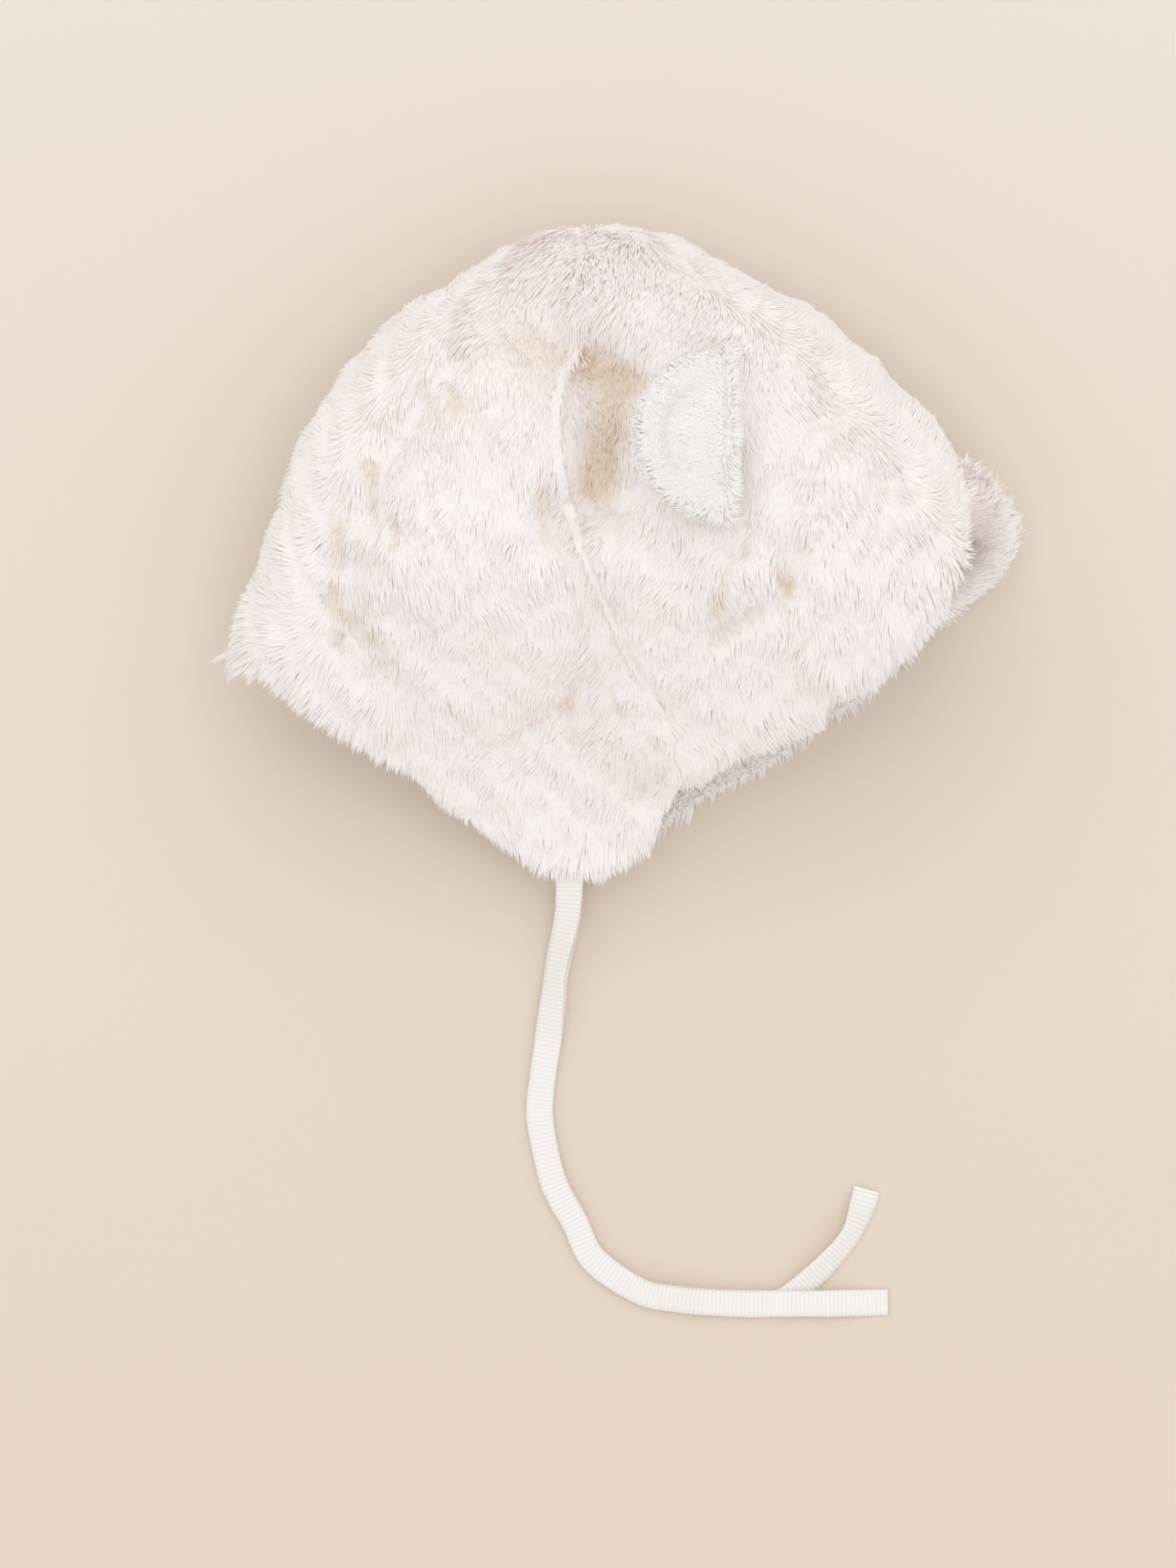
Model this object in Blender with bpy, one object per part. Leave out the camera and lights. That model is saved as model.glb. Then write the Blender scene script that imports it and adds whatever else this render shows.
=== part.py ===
"""A newborn's bear bonnet of teddy fur, lying on its side.

+Z is up and the floor is at z = 0. +X runs to the face opening, +Y to the crown of the head.
The plane that halves the bonnet from nape to forehead lies level, half way up.
"""

import math

import bmesh
import bpy
import numpy as np
from mathutils import Vector
from mathutils.bvhtree import BVHTree

for item in list(bpy.data.objects):
    bpy.data.objects.remove(item, do_unlink=True)

# Driving sizes, in metres
hat_length = 0.187        # nape corner to forehead tuft, fur included
hat_height = 0.152        # crown to flap tip, fur included
near_top = 0.067          # backing of the side that lies up
mid_level = 0.029         # the crown fold's height above the floor
flap_level = 0.018        # the upper flap's tip
wall = 0.003              # fur fabric without its pile
pile = 0.0085             # length of a lock
lock_angle = math.radians(34.0)   # a lock's rise off the backing
cell = 0.0062             # width of a lock's foot
seam_gap = 0.0004         # between the two fur sections
welt_width = 0.0022       # raised seam line on the upper side
welt_rise = 0.0013
rim_fringe = 0.0062       # fur past the cut edge
ear_width = 0.039
ear_height = 0.029
ear_thickness = 0.0085
ear_lean = math.radians(36.0)     # the upper ear's rise off the hat
ear_pile = 0.0042
folded_ear = 0.0058       # thickness of the ear that is pressed under the hat
clearance = 0.0006
tape_width = 0.0063
tape_thickness = 0.0007
hair_gap = 0.0004         # between tapes, and from a lock's tip to the floor
tip_clearance = 0.0012    # from a lock's tip to the seam's plane
ear_bend = 0.0045
near_drop = 0.030         # length over which a tie comes down to the floor
far_drop = 0.012

# Outlines with the fur on, as shares of hat_length and hat_height from the middle of the outline.
# Crown fold: from the crown seam back to the nape, and from the seam forward to the forehead.
# columns: along, up
crown_back = [
    (-0.042, 0.500), (-0.111, 0.478), (-0.194, 0.438), (-0.264, 0.387),
    (-0.319, 0.328), (-0.368, 0.260), (-0.416, 0.175), (-0.445, 0.072),
    (-0.466, 0.003), (-0.486, -0.088), (-0.502, -0.148),
]
crown_face = [
    (-0.042, 0.500), (0.035, 0.493), (0.110, 0.463), (0.207, 0.404),
    (0.276, 0.353), (0.339, 0.285), (0.394, 0.218), (0.425, 0.170), (0.458, 0.092),
]
# Cut edges, nape to seam and forehead to seam.
# columns: upper side along, up, lower side along, up
neck_rim = [
    (-0.502, -0.148, -0.502, -0.148), (-0.416, -0.228, -0.414, -0.226),
    (-0.300, -0.322, -0.300, -0.322), (-0.190, -0.428, -0.188, -0.426),
    (-0.100, -0.488, -0.098, -0.486), (-0.030, -0.494, -0.026, -0.492),
    (0.030, -0.456, 0.046, -0.452), (0.086, -0.362, 0.110, -0.400),
]
face_rim = [
    (0.458, 0.092, 0.458, 0.092), (0.446, 0.040, 0.502, 0.034),
    (0.432, -0.020, 0.500, -0.010), (0.408, -0.098, 0.446, -0.074),
    (0.338, -0.186, 0.356, -0.198), (0.254, -0.244, 0.276, -0.272),
    (0.166, -0.296, 0.200, -0.344), (0.086, -0.362, 0.110, -0.400),
]
# Crown seam, from the crown fold down each side.
# columns: upper side along, up, lower side along, up
seam_line = [
    (-0.042, 0.500, -0.042, 0.500), (-0.060, 0.390, -0.058, 0.376),
    (-0.090, 0.291, -0.075, 0.249), (-0.101, 0.213, -0.079, 0.121),
    (-0.099, 0.133, -0.063, -0.020), (-0.083, 0.073, -0.029, -0.161),
    (-0.074, 0.008, 0.014, -0.260), (-0.042, -0.088, 0.040, -0.310),
    (0.005, -0.175, 0.066, -0.345), (0.052, -0.260, 0.090, -0.375),
    (0.086, -0.362, 0.110, -0.400),
]
# Dents and folds of the upper side, each along a short line.
# columns: start along, up, end along, up, reach, depth, as shares of hat_length
folds = [
    (-0.208, 0.291, -0.277, 0.192, 0.030, 0.016),   # dents round the back of the head
    (-0.289, 0.150, -0.318, 0.065, 0.030, 0.015),
    (-0.341, -0.020, -0.352, -0.119, 0.030, 0.016),
    (-0.347, -0.133, -0.289, -0.196, 0.026, 0.012),
    (-0.029, 0.291, -0.017, 0.107, 0.052, 0.050),   # hollow under the ear
    (-0.104, 0.362, -0.046, 0.291, 0.045, 0.020),
    (-0.088, 0.065, 0.012, -0.182, 0.022, 0.014),   # beside the seam line
    (0.139, 0.143, 0.156, 0.008, 0.024, 0.014),     # creases below and before the ear
    (0.220, 0.008, 0.210, -0.041, 0.024, 0.018),
    (0.173, -0.076, 0.116, -0.112, 0.024, 0.014),
    (0.243, 0.291, 0.260, 0.220, 0.024, 0.012),
    (0.336, 0.114, 0.341, 0.086, 0.026, 0.016),
    (-0.009, -0.182, 0.000, -0.239, 0.022, 0.010),  # creases of the flap
    (-0.012, -0.295, 0.023, -0.345, 0.024, 0.014),
    (-0.066, -0.195, -0.062, -0.294, 0.020, 0.008),
    (-0.149, -0.301, -0.094, -0.229, 0.020, 0.007),
]
# The upper ear's foot and the folded ear, as shares like the outlines.
ear_foot = (0.136, 0.178)
folded_foot = (0.120, 0.170)
# Way of the two ties over the floor.
# columns: along, up, roll in turns of a right angle
shared_way = [
    (-0.064, -0.505, 0.10), (-0.066, -0.560, 0.20), (-0.078, -0.640, 0.42), (-0.085, -0.700, 0.30),
    (-0.092, -0.760, 0.08), (-0.099, -0.815, 0.02), (-0.103, -0.870, 0.02), (-0.096, -0.927, 0.05),
    (-0.083, -0.985, 0.10), (-0.058, -1.042, 0.10), (-0.034, -1.100, 0.05), (0.024, -1.148, 0.20),
    (0.070, -1.160, 0.25), (0.116, -1.166, 0.15), (0.162, -1.168, 0.15), (0.200, -1.168, 0.10),
]
near_end = [(0.250, -1.168, 0.10), (0.300, -1.168, 0.05), (0.340, -1.167, 0.02)]
far_end = [
    (0.222, -1.152, 0.12), (0.256, -1.114, 0.35), (0.284, -1.076, 0.45), (0.298, -1.048, 0.40),
    (0.308, -1.012, 0.15), (0.313, -0.990, 0.05),
]
tie_part = 0.84           # where the ties part, along their way, as a share of hat_length

roundness = 0.80          # of the bonnet's section: under 1 is fuller than an ellipse
crown_whorl = 0.018       # from the top of the crown to where the locks lie at their full lean
crown_reach = 0.048       # from the crown fold to where the side is at its full height
face_sink = 0.20          # share of the height that the cut edges sink by
rng = np.random.default_rng(7)


def smoothstep(x):
    x = np.clip(x, 0.0, 1.0)
    return x * x * (3.0 - 2.0 * x)


def scaled(rows, first=0):
    """Table rows as metres in plan, drawn in by the fur's stand-off."""
    points = np.array([[row[first] * hat_length, row[first + 1] * hat_height] for row in rows])
    reach = np.linalg.norm(points, axis=1, keepdims=True)
    return points * (1.0 - pile * math.sin(lock_angle) * 1.15 / reach)


def curve(points, samples=240):
    """A smooth run through the points, evenly spaced by length."""
    points = np.asarray(points, float)
    knots = np.vstack([2 * points[0] - points[1], points, 2 * points[-1] - points[-2]])
    fine = []
    for i in range(1, len(knots) - 2):
        p0, p1, p2, p3 = knots[i - 1:i + 3]
        for u in np.linspace(0.0, 1.0, 16, endpoint=False):
            fine.append(0.5 * (2 * p1 + (p2 - p0) * u + (2 * p0 - 5 * p1 + 4 * p2 - p3) * u ** 2
                               + (3 * p1 - p0 - 3 * p2 + p3) * u ** 3))
    fine.append(points[-1])
    fine = np.array(fine)
    run = np.concatenate([[0.0], np.cumsum(np.linalg.norm(np.diff(fine, axis=0), axis=1))])
    even = np.linspace(0.0, run[-1], samples)
    return np.stack([np.interp(even, run, fine[:, k]) for k in range(fine.shape[1])], axis=1)


def at(line, share):
    where = np.clip(np.asarray(share, float), 0.0, 1.0) * (len(line) - 1)
    return np.stack([np.interp(where, np.arange(len(line)), line[:, k]) for k in range(line.shape[1])],
                    axis=-1)


crown = {"back": curve(scaled(crown_back)), "face": curve(scaled(crown_face))}
rim = {
    ("back", "near"): curve(scaled(neck_rim)), ("back", "far"): curve(scaled(neck_rim, 2)),
    ("face", "near"): curve(scaled(face_rim)), ("face", "far"): curve(scaled(face_rim, 2)),
}
seam = {"near": curve(scaled(seam_line)), "far": curve(scaled(seam_line, 2))}
foot = np.array([ear_foot[0] * hat_length, ear_foot[1] * hat_height])
far_foot = np.array([folded_foot[0] * hat_length, folded_foot[1] * hat_height])


def line_distance(xy, start, end):
    run = end - start
    share = np.clip(((xy - start) @ run) / (run @ run), 0.0, 1.0)
    return np.linalg.norm(xy - start - share[..., None] * run, axis=-1)


def dents(xy):
    depth = np.zeros(xy.shape[:-1])
    for a0, u0, a1, u1, reach, deep in folds:
        start = np.array([a0 * hat_length, u0 * hat_height])
        end = np.array([a1 * hat_length, u1 * hat_height])
        far = line_distance(xy, start, end) / (reach * hat_length)
        depth += deep * hat_length * np.exp(-far ** 2)
    return depth


def spread_of_fold():
    """Share of the crown fold for each share of the seam, so that both run down at one pace."""
    share = np.linspace(0.0, 1.0, 400)
    reach = np.clip(share * plan_length / crown_reach, 0.0, 1.0)
    rise = (near_top - mid_level) * np.sqrt(1.0 - (1.0 - reach) ** 2)
    run = np.hypot(np.diff(share) * plan_length, np.diff(rise))
    run = np.concatenate([[0.0], np.cumsum(run)])
    return share, run / run[-1]


plan_length = np.linalg.norm(np.diff(seam["near"], axis=0), axis=1).sum()
fold_share = spread_of_fold()


def backing(section, side, angle, rho):
    """The fabric's outer face: angle 0 on the crown fold to a right angle on the seam, rho 0 at the crown."""
    angle, rho = np.broadcast_arrays(np.asarray(angle, float), np.asarray(rho, float))
    across = 1.0 - np.cos(angle) ** roundness
    rise = np.sin(angle) ** roundness
    fold = at(crown[section], np.interp(rho, *fold_share))
    seam_at, edge = at(seam[side], rho), at(rim[section, side], across)
    a = across[..., None]
    ends = (1 - a) * crown[section][-1] + a * seam[side][-1]
    xy = (1 - a) * fold + a * seam_at + rho[..., None] * (edge - ends)
    reach = np.clip(rho * plan_length / crown_reach, 0.0, 1.0)
    dome = np.sqrt(1.0 - (1.0 - reach) ** 2)
    if side == "near":
        full = dome * (1.0 - face_sink * smoothstep((rho - 0.5) / 0.5))
        z = mid_level + (near_top - mid_level) * rise * full
        sag = smoothstep((-0.02 - xy[..., 1] / hat_height) / 0.46) * smoothstep(rise / 0.9)
        z = z * (1.0 - sag) + flap_level * sag
        z = z - dents(xy) * smoothstep(rise / 0.8)
    else:
        down = np.sin(angle) ** (roundness * 0.75) * np.clip(dome * 1.25, 0.0, 1.0)
        z = mid_level * (1.0 - np.clip(1.12 * down, 0.0, 1.0))
        off = (xy - far_foot + np.array([0.46 * ear_height, 0.0])) / np.array([ear_height, ear_width]) * 1.7
        lift = smoothstep((1.95 - np.linalg.norm(off, axis=-1)) / 0.7)
        z = np.maximum(z, (folded_ear + clearance * 1.5) * lift)
    return np.concatenate([xy, z[..., None]], axis=-1)


def ring(section, rho, welt):
    """One row of points, from the seam of the upper side round the fold to the seam of the lower side."""
    quarter = np.linspace(0.0, math.pi / 2, 121)
    upper = backing(section, "near", quarter[::-1], rho)
    lower = backing(section, "far", quarter, rho)[1:]
    fine = np.vstack([upper, lower])
    run = np.concatenate([[0.0], np.cumsum(np.linalg.norm(np.diff(fine, axis=0), axis=1))])
    start = 0.0
    stops = []
    if welt:
        stops = [0.0, welt_width / 2]
        start = welt_width
    count = max(2, round((run[-1] - start) / cell))
    stops = np.concatenate([stops, np.linspace(start, run[-1], count + 1)])
    points = np.stack([np.interp(stops, run, fine[:, k]) for k in range(3)], axis=1)
    return points, stops / run[-1]


def unit(v):
    return v / np.maximum(np.linalg.norm(v, axis=-1, keepdims=True), 1e-12)


seam_fine = backing("back", "near", math.pi / 2, np.linspace(0, 1, 200))
seam_length = np.linalg.norm(np.diff(seam_fine, axis=0), axis=1)
seam_run = np.concatenate([[0.0], np.cumsum(seam_length)])
row_count = round(seam_run[-1] / (cell * 0.93))
row_shares = np.interp(np.linspace(0, seam_run[-1], row_count + 1), seam_run, np.linspace(0, 1, 200))[1:]
rows = {
    "back": [ring("back", share, False) for share in row_shares],
    "face": [ring("face", share, True) for share in row_shares],
}


def seam_frames():
    """Along the whole seam: its points, the way across it towards the face, and its normal."""
    tops = [(rows["face"][i][0][3] - rows["back"][i][0][1]) for i in range(row_count)]
    lows = [(rows["face"][i][0][-2] - rows["back"][i][0][-2]) for i in range(row_count)]
    near = [rows["back"][i][0][0] for i in range(row_count)]
    far = [rows["back"][i][0][-1] for i in range(row_count)]
    top = backing("back", "near", 0.0, 0.0)
    points = np.array(near[::-1] + [top] + far)
    across = unit(np.array(tops[::-1] + [np.array([1.0, 0.0, 0.0])] + lows))
    along = unit(np.gradient(points, axis=0))
    across = unit(across - (across * along).sum(1, keepdims=True) * along)
    return points, across, unit(np.cross(across, along))


seam_points, seam_across, seam_normal = seam_frames()


def new_object(name, vertices, faces, colour):
    mesh = bpy.data.meshes.new(name)
    mesh.from_pydata([tuple(map(float, v)) for v in vertices], [], [tuple(map(int, f)) for f in faces])
    mesh.validate()
    work = bmesh.new()
    work.from_mesh(mesh)
    bmesh.ops.recalc_face_normals(work, faces=work.faces)
    work.to_mesh(mesh)
    work.free()
    item = bpy.data.objects.new(name, mesh)
    bpy.context.scene.collection.objects.link(item)
    material = bpy.data.materials.new(name + "_material")
    material.use_nodes = True
    shader = material.node_tree.nodes["Principled BSDF"]
    shader.inputs["Base Color"].default_value = colour
    shader.inputs["Roughness"].default_value = 0.9
    material.diffuse_color = colour
    mesh.materials.append(material)
    mesh.shade_smooth()
    mesh.set_sharp_from_angle(angle=math.radians(35.0))
    return item


def lock_share(centre, normal):
    """How much of its full length a lock has: short in the hollows, none where the hat is pressed."""
    share = 1.0
    share *= 1.0 - float(smoothstep((-normal[2] - 0.25) / 0.55))
    under = (centre[:2] - foot + np.array([0.12 * ear_height, 0.0])) / np.array([ear_height, ear_width])
    if centre[2] > mid_level:
        share *= float(smoothstep((np.linalg.norm(under * np.array([2.6, 1.7])) - 0.9) / 0.7))
        deep = float(dents(centre[:2][None])[0]) / (0.05 * hat_length)
        share *= 1.0 - 0.5 * min(1.0, deep)
    return share


def build_section(name, section, colour):
    side = 1.0 if section == "face" else -1.0
    vertices = []
    ids = []
    share_of = []
    row_of = []
    top = seam_points[row_count] + side * seam_across[row_count] * seam_gap / 2
    vertices.append(top)
    share_of.append(0.5)
    row_of.append(-1)
    for i, (points, stops) in enumerate(rows[section]):
        moved = points.copy()
        near, far = row_count - 1 - i, row_count + 1 + i
        moved[0] = seam_points[near] + side * seam_across[near] * seam_gap / 2
        moved[-1] = seam_points[far] + side * seam_across[far] * seam_gap / 2
        ids.append(list(range(len(vertices), len(vertices) + len(moved))))
        vertices += list(moved)
        share_of += list(stops)
        row_of += [i] * len(moved)
    faces = []
    plain = []
    welt = 2 if section == "face" else 0
    first = ids[0]
    for j in range(len(first) - 1):
        faces.append((0, first[j], first[j + 1]))
        plain.append(j < welt)
    for i in range(row_count - 1):
        upper, lower = ids[i], ids[i + 1]
        for j in range(welt):
            faces += [(upper[j], lower[j], lower[j + 1]), (upper[j], lower[j + 1], upper[j + 1])]
            plain += [True, True]
        u, w = welt, welt
        while u < len(upper) - 1 or w < len(lower) - 1:
            next_u = share_of[upper[u + 1]] if u < len(upper) - 1 else 9.0
            next_w = share_of[lower[w + 1]] if w < len(lower) - 1 else 9.0
            if next_w <= next_u:
                faces.append((upper[u], lower[w], lower[w + 1]))
                w += 1
            else:
                faces.append((upper[u], lower[w], upper[u + 1]))
                u += 1
            plain.append(False)
    vertices = np.array(vertices)
    faces = np.array(faces)
    corners = vertices[faces]
    normals = unit(np.cross(corners[:, 1] - corners[:, 0], corners[:, 2] - corners[:, 0]))
    centre = np.array([0.0, 0.0, mid_level])
    if ((corners.mean(1) - centre) * normals).sum() < 0:
        faces = faces[:, ::-1]
        normals = -normals
    point_normals = np.zeros_like(vertices)
    area = np.linalg.norm(np.cross(corners[:, 1] - corners[:, 0], corners[:, 2] - corners[:, 0]), axis=1)
    for k in range(3):
        np.add.at(point_normals, faces[:, k], normals * area[:, None])
    point_normals = unit(point_normals)
    outward = 1.0 if (seam_normal[row_count] @ np.array([0, 1, 0])) > 0 else -1.0
    point_normals[0] = outward * seam_normal[row_count]
    across_of = {0: seam_across[row_count]}
    for i in range(row_count):
        near, far = row_count - 1 - i, row_count + 1 + i
        point_normals[ids[i][0]] = outward * seam_normal[near]
        point_normals[ids[i][-1]] = outward * seam_normal[far]
        across_of[ids[i][0]] = seam_across[near]
        across_of[ids[i][-1]] = seam_across[far]
        for step in range(1, welt + 1):
            point_normals[ids[i][step]] = outward * seam_normal[near]
    inner = vertices - point_normals * wall
    if welt:
        for i in range(row_count):
            fade = float(smoothstep(i / 4.0)) * float(smoothstep((row_count - i) / 8.0))
            vertices[ids[i][1]] += point_normals[ids[i][1]] * welt_rise * fade
    row_of = np.array(row_of)
    out = [tuple(v) for v in vertices] + [tuple(v) for v in inner]
    shift = len(vertices)
    solid = []
    for f, (a, b, c) in enumerate(faces):
        solid.append((shift + c, shift + b, shift + a))
        middle = vertices[[a, b, c]].mean(0)
        normal = unit(point_normals[[a, b, c]].sum(0))
        flat = vertices[[a, b, c], 2].max() < 2 * hair_gap
        at_crown = 0 in (a, b, c)
        share = 0.0 if plain[f] or flat or at_crown else lock_share(middle, normal)
        if share < 0.12:
            solid.append((a, b, c))
            continue
        away = middle - seam_points[row_count]
        down = np.array([-0.25, -1.0, 0.0]) * float(smoothstep(0.6 - middle[1] / hat_height))
        comb = unit(unit(away - (away @ normal) * normal) + unit(down - (down @ normal) * normal) * 0.9)
        comb = unit(comb - (comb @ normal) * normal)
        whorl = float(smoothstep(np.linalg.norm(away) / crown_whorl))
        length = pile * share * rng.uniform(0.85, 1.12) * (0.5 + 0.5 * whorl)
        lift = normal * (math.sin(lock_angle) + 0.4 * (1.0 - whorl)) + comb * math.cos(lock_angle) * whorl
        tip = middle + lift * length
        nearest = int(np.argmin(np.linalg.norm(seam_points - tip, axis=1)))
        keep = tip_clearance + (welt_width if welt and nearest < row_count else 0.0)
        offset = side * float((tip - seam_points[nearest]) @ seam_across[nearest])
        if np.linalg.norm(seam_points[nearest] - tip) < 1.6 * pile and offset < keep:
            tip = tip + side * seam_across[nearest] * (keep - offset)
        tip[2] = max(tip[2], min(hair_gap, middle[2]))
        out.append(tuple(tip))
        t = len(out) - 1
        solid += [(a, b, t), (b, c, t), (c, a, t)]
    used = {}
    for a, b, c in faces:
        for p, q in ((a, b), (b, c), (c, a)):
            used[(p, q)] = True
    last = row_count - 1
    for p, q in used:
        if (q, p) in used:
            continue
        if row_of[p] == last and row_of[q] == last:
            middle = (vertices[p] + vertices[q] + inner[p] + inner[q]) / 4
            edge = unit(vertices[q] - vertices[p])
            normal = unit(point_normals[p] + point_normals[q])
            leave = unit(np.cross(edge, normal))
            away = middle - np.array([0.0, 0.13 * hat_height, middle[2]])
            leave = leave if leave @ away > 0 else -leave
            at_tie = abs(middle[0] - tie_x) < tape_width * 1.25 and middle[1] < -0.3 * hat_height
            near_seam = any(int(k) in across_of for k in (p, q))
            if not at_tie and not near_seam:
                tip = middle + (leave + np.array([-0.1, -0.35, 0.0])) * rim_fringe * rng.uniform(0.75, 1.0)
                tip[2] = max(tip[2], clearance)
                out.append(tuple(tip))
                t = len(out) - 1
                solid += [(q, p, t), (p, shift + p, t), (shift + p, shift + q, t), (shift + q, q, t)]
                continue
        if row_of[p] < row_of[q]:
            solid += [(q, p, shift + q), (p, shift + p, shift + q)]
        else:
            solid += [(q, p, shift + p), (q, shift + p, shift + q)]
    return new_object(name, out, solid, colour)


tie_x = shared_way[0][0] * hat_length
back_section = build_section("back_section", "back", (0.86, 0.80, 0.76, 1.0))
front_section = build_section("front_section", "face", (0.88, 0.82, 0.78, 1.0))


def surface_of(items):
    vertices = []
    polygons = []
    for item in items:
        start = len(vertices)
        vertices += [Vector(v.co) for v in item.data.vertices]
        polygons += [[start + i for i in p.vertices] for p in item.data.polygons]
    return BVHTree.FromPolygons(vertices, polygons)


def ear_mesh(thickness, fur, bend):
    """A padded half disc in its own axes: x along the foot, y up to the rim, z out of the front."""
    reaches = [0.32, 0.56, 0.72, 0.87, 0.97]
    spokes = 12
    vertices = []
    faces = []

    def place(reach, turn, front):
        x = reach * ear_width / 2 * math.cos(turn)
        y = reach * ear_height * math.sin(turn) ** 0.9
        half = thickness / 2 * math.sqrt(max(0.0, 1.0 - reach ** 4))
        groove = 0.28 * thickness * math.exp(-((reach - 0.70) / 0.10) ** 2) if front > 0 else 0.0
        return (x, y, front * (half - groove) + bend * reach ** 2)

    ids = {}
    for front in (1, -1):
        ids[front, 0] = [len(vertices)] * (spokes + 1)
        vertices.append(place(0.0, math.pi / 2, front))
        for k, reach in enumerate(reaches):
            ids[front, k + 1] = list(range(len(vertices), len(vertices) + spokes + 1))
            vertices += [place(reach, math.pi * j / spokes, front) for j in range(spokes + 1)]
    edge = list(range(len(vertices), len(vertices) + spokes + 1))
    vertices += [place(1.0, math.pi * j / spokes, 1) for j in range(spokes + 1)]
    last = len(reaches)
    for front in (1, -1):
        ids[front, last + 1] = edge
        for k in range(last + 1):
            a, b = ids[front, k], ids[front, k + 1]
            for j in range(spokes):
                if k == 0:
                    patch = [(a[0], b[j], b[j + 1])]
                else:
                    patch = [(a[j], b[j], b[j + 1]), (a[j], b[j + 1], a[j + 1])]
                if k == last:
                    patch = [(a[j], b[j], b[j + 1]), (a[j], b[j + 1], a[j + 1])]
                faces += patch if front > 0 else [p[::-1] for p in patch]
    foot_faces = []
    for j in (0, spokes):
        for k in range(last + 1):
            a, b = ids[1, k][j], ids[1, k + 1][j]
            c, d = ids[-1, k][j], ids[-1, k + 1][j]
            patch = [(a, c, d), (a, d, b)] if d != b else [(a, c, b)]
            foot_faces += patch if j else [p[::-1] for p in patch]
    vertices = np.array(vertices)
    out = [tuple(v) for v in vertices]
    solid = list(foot_faces)
    for a, b, c in faces:
        middle = vertices[[a, b, c]].mean(0)
        normal = unit(np.cross(vertices[b] - vertices[a], vertices[c] - vertices[a]))
        reach = math.hypot(middle[0] / (ear_width / 2), middle[1] / ear_height)
        bare = 0.14 if normal[2] > 0.2 else 0.38
        if fur <= 0 or middle[1] < bare * ear_height:
            solid.append((a, b, c))
            continue
        length = fur * (0.5 if normal[2] > 0.2 and 0.55 < reach < 0.90 else 1.0)
        away = unit(np.array([middle[0], middle[1] + 0.2 * ear_height, 0.0]))
        out.append(tuple(middle + (normal * 0.75 + away * 0.65) * length * rng.uniform(0.85, 1.1)))
        t = len(out) - 1
        solid += [(a, b, t), (b, c, t), (c, a, t)]
    return np.array(out), solid


hat_surface = surface_of([back_section, front_section])


def top_at(x, y):
    highest = 0.0
    probe = 0.3 * cell
    for dx, dy in ((0, 0), (probe, 0), (-probe, 0), (0, probe), (0, -probe)):
        hit = hat_surface.ray_cast(Vector((x + dx, y + dy, 2 * hat_height)), Vector((0, 0, -1)))[0]
        if hit:
            highest = max(highest, hit.z)
    return highest


points, solid = ear_mesh(ear_thickness, ear_pile, ear_bend)
lean_up = np.array([-math.cos(ear_lean), 0.0, math.sin(ear_lean)])
face_out = np.array([math.sin(ear_lean), 0.0, math.cos(ear_lean)])
base = np.array([foot[0], foot[1], top_at(*foot) + ear_thickness * 0.45])
along_foot = np.array([0.0, 1.0, 0.0])
placed = base + points[:, :1] * along_foot + points[:, 1:2] * lean_up + points[:, 2:3] * face_out
for p in placed:
    p[2] = max(p[2], top_at(p[0], p[1]) + clearance)
ear_near = new_object("ear_near", placed, solid, (0.90, 0.84, 0.80, 1.0))

points, solid = ear_mesh(folded_ear, 0.0, 0.0)
across, along, thick = points.T
placed = np.stack([far_foot[0] - along, far_foot[1] + across, thick + folded_ear / 2], axis=1)
placed[:, 2] = np.clip(placed[:, 2], 0.0, folded_ear)
ear_far = new_object("ear_far", placed, solid, (0.84, 0.78, 0.74, 1.0))


def tape(name, way, start_height, lift, drop_length, colour):
    """A flat tape along its way: on the floor, turned a little about its own length, and led down to it."""
    rows_xy = np.array([[a * hat_length, u * hat_height, roll] for a, u, roll in way])
    length = np.linalg.norm(np.diff(rows_xy[:, :2], axis=0), axis=1).sum()
    line = curve(rows_xy, max(30, round(length / (tape_width * 0.62))))
    run = np.concatenate([[0.0], np.cumsum(np.linalg.norm(np.diff(line[:, :2], axis=0), axis=1))])
    roll = line[:, 2] * math.pi / 2
    forward = unit(np.gradient(line[:, :2], axis=0))
    sideways = np.stack([-forward[:, 1], forward[:, 0]], axis=1)
    half = tape_width / 2
    across = np.concatenate([sideways * np.cos(roll)[:, None], np.sin(roll)[:, None]], axis=1)
    up = np.concatenate([-sideways * np.sin(roll)[:, None], np.cos(roll)[:, None]], axis=1)
    rest = half * np.abs(np.sin(roll)) + tape_thickness / 2 * np.cos(roll) + hair_gap / 4
    share = smoothstep(1.0 - run / drop_length)
    stack = lift(run)
    centre = np.concatenate([line[:, :2], rest[:, None]], axis=1) + up * stack[:, None]
    centre[:, 2] = centre[:, 2] * (1.0 - share) + start_height * share
    vertices = []
    for c, a, u in zip(centre, across, up):
        for s, t in ((-1, -1), (1, -1), (1, 1), (-1, 1)):
            vertices.append(c + a * half * s + u * tape_thickness / 2 * t)
    faces = []
    count = len(line)
    for i in range(count - 1):
        for k in range(4):
            a, b = 4 * i + k, 4 * i + (k + 1) % 4
            faces += [(a, b, b + 4), (a, b + 4, a + 4)]
    end = 4 * (count - 1)
    faces += [(0, 2, 1), (0, 3, 2), (end, end + 1, end + 2), (end, end + 2, end + 3)]
    return new_object(name, vertices, faces, colour), run[-1]


def rim_height(side, inside):
    """Where the flap's cut edge stands at the ties, as its y and its middle height."""
    best = min(
        (vertex for vertex in seam_candidates[side]),
        key=lambda v: abs(v[0] - tie_x),
    )
    return best[1], best[2] + inside


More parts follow.
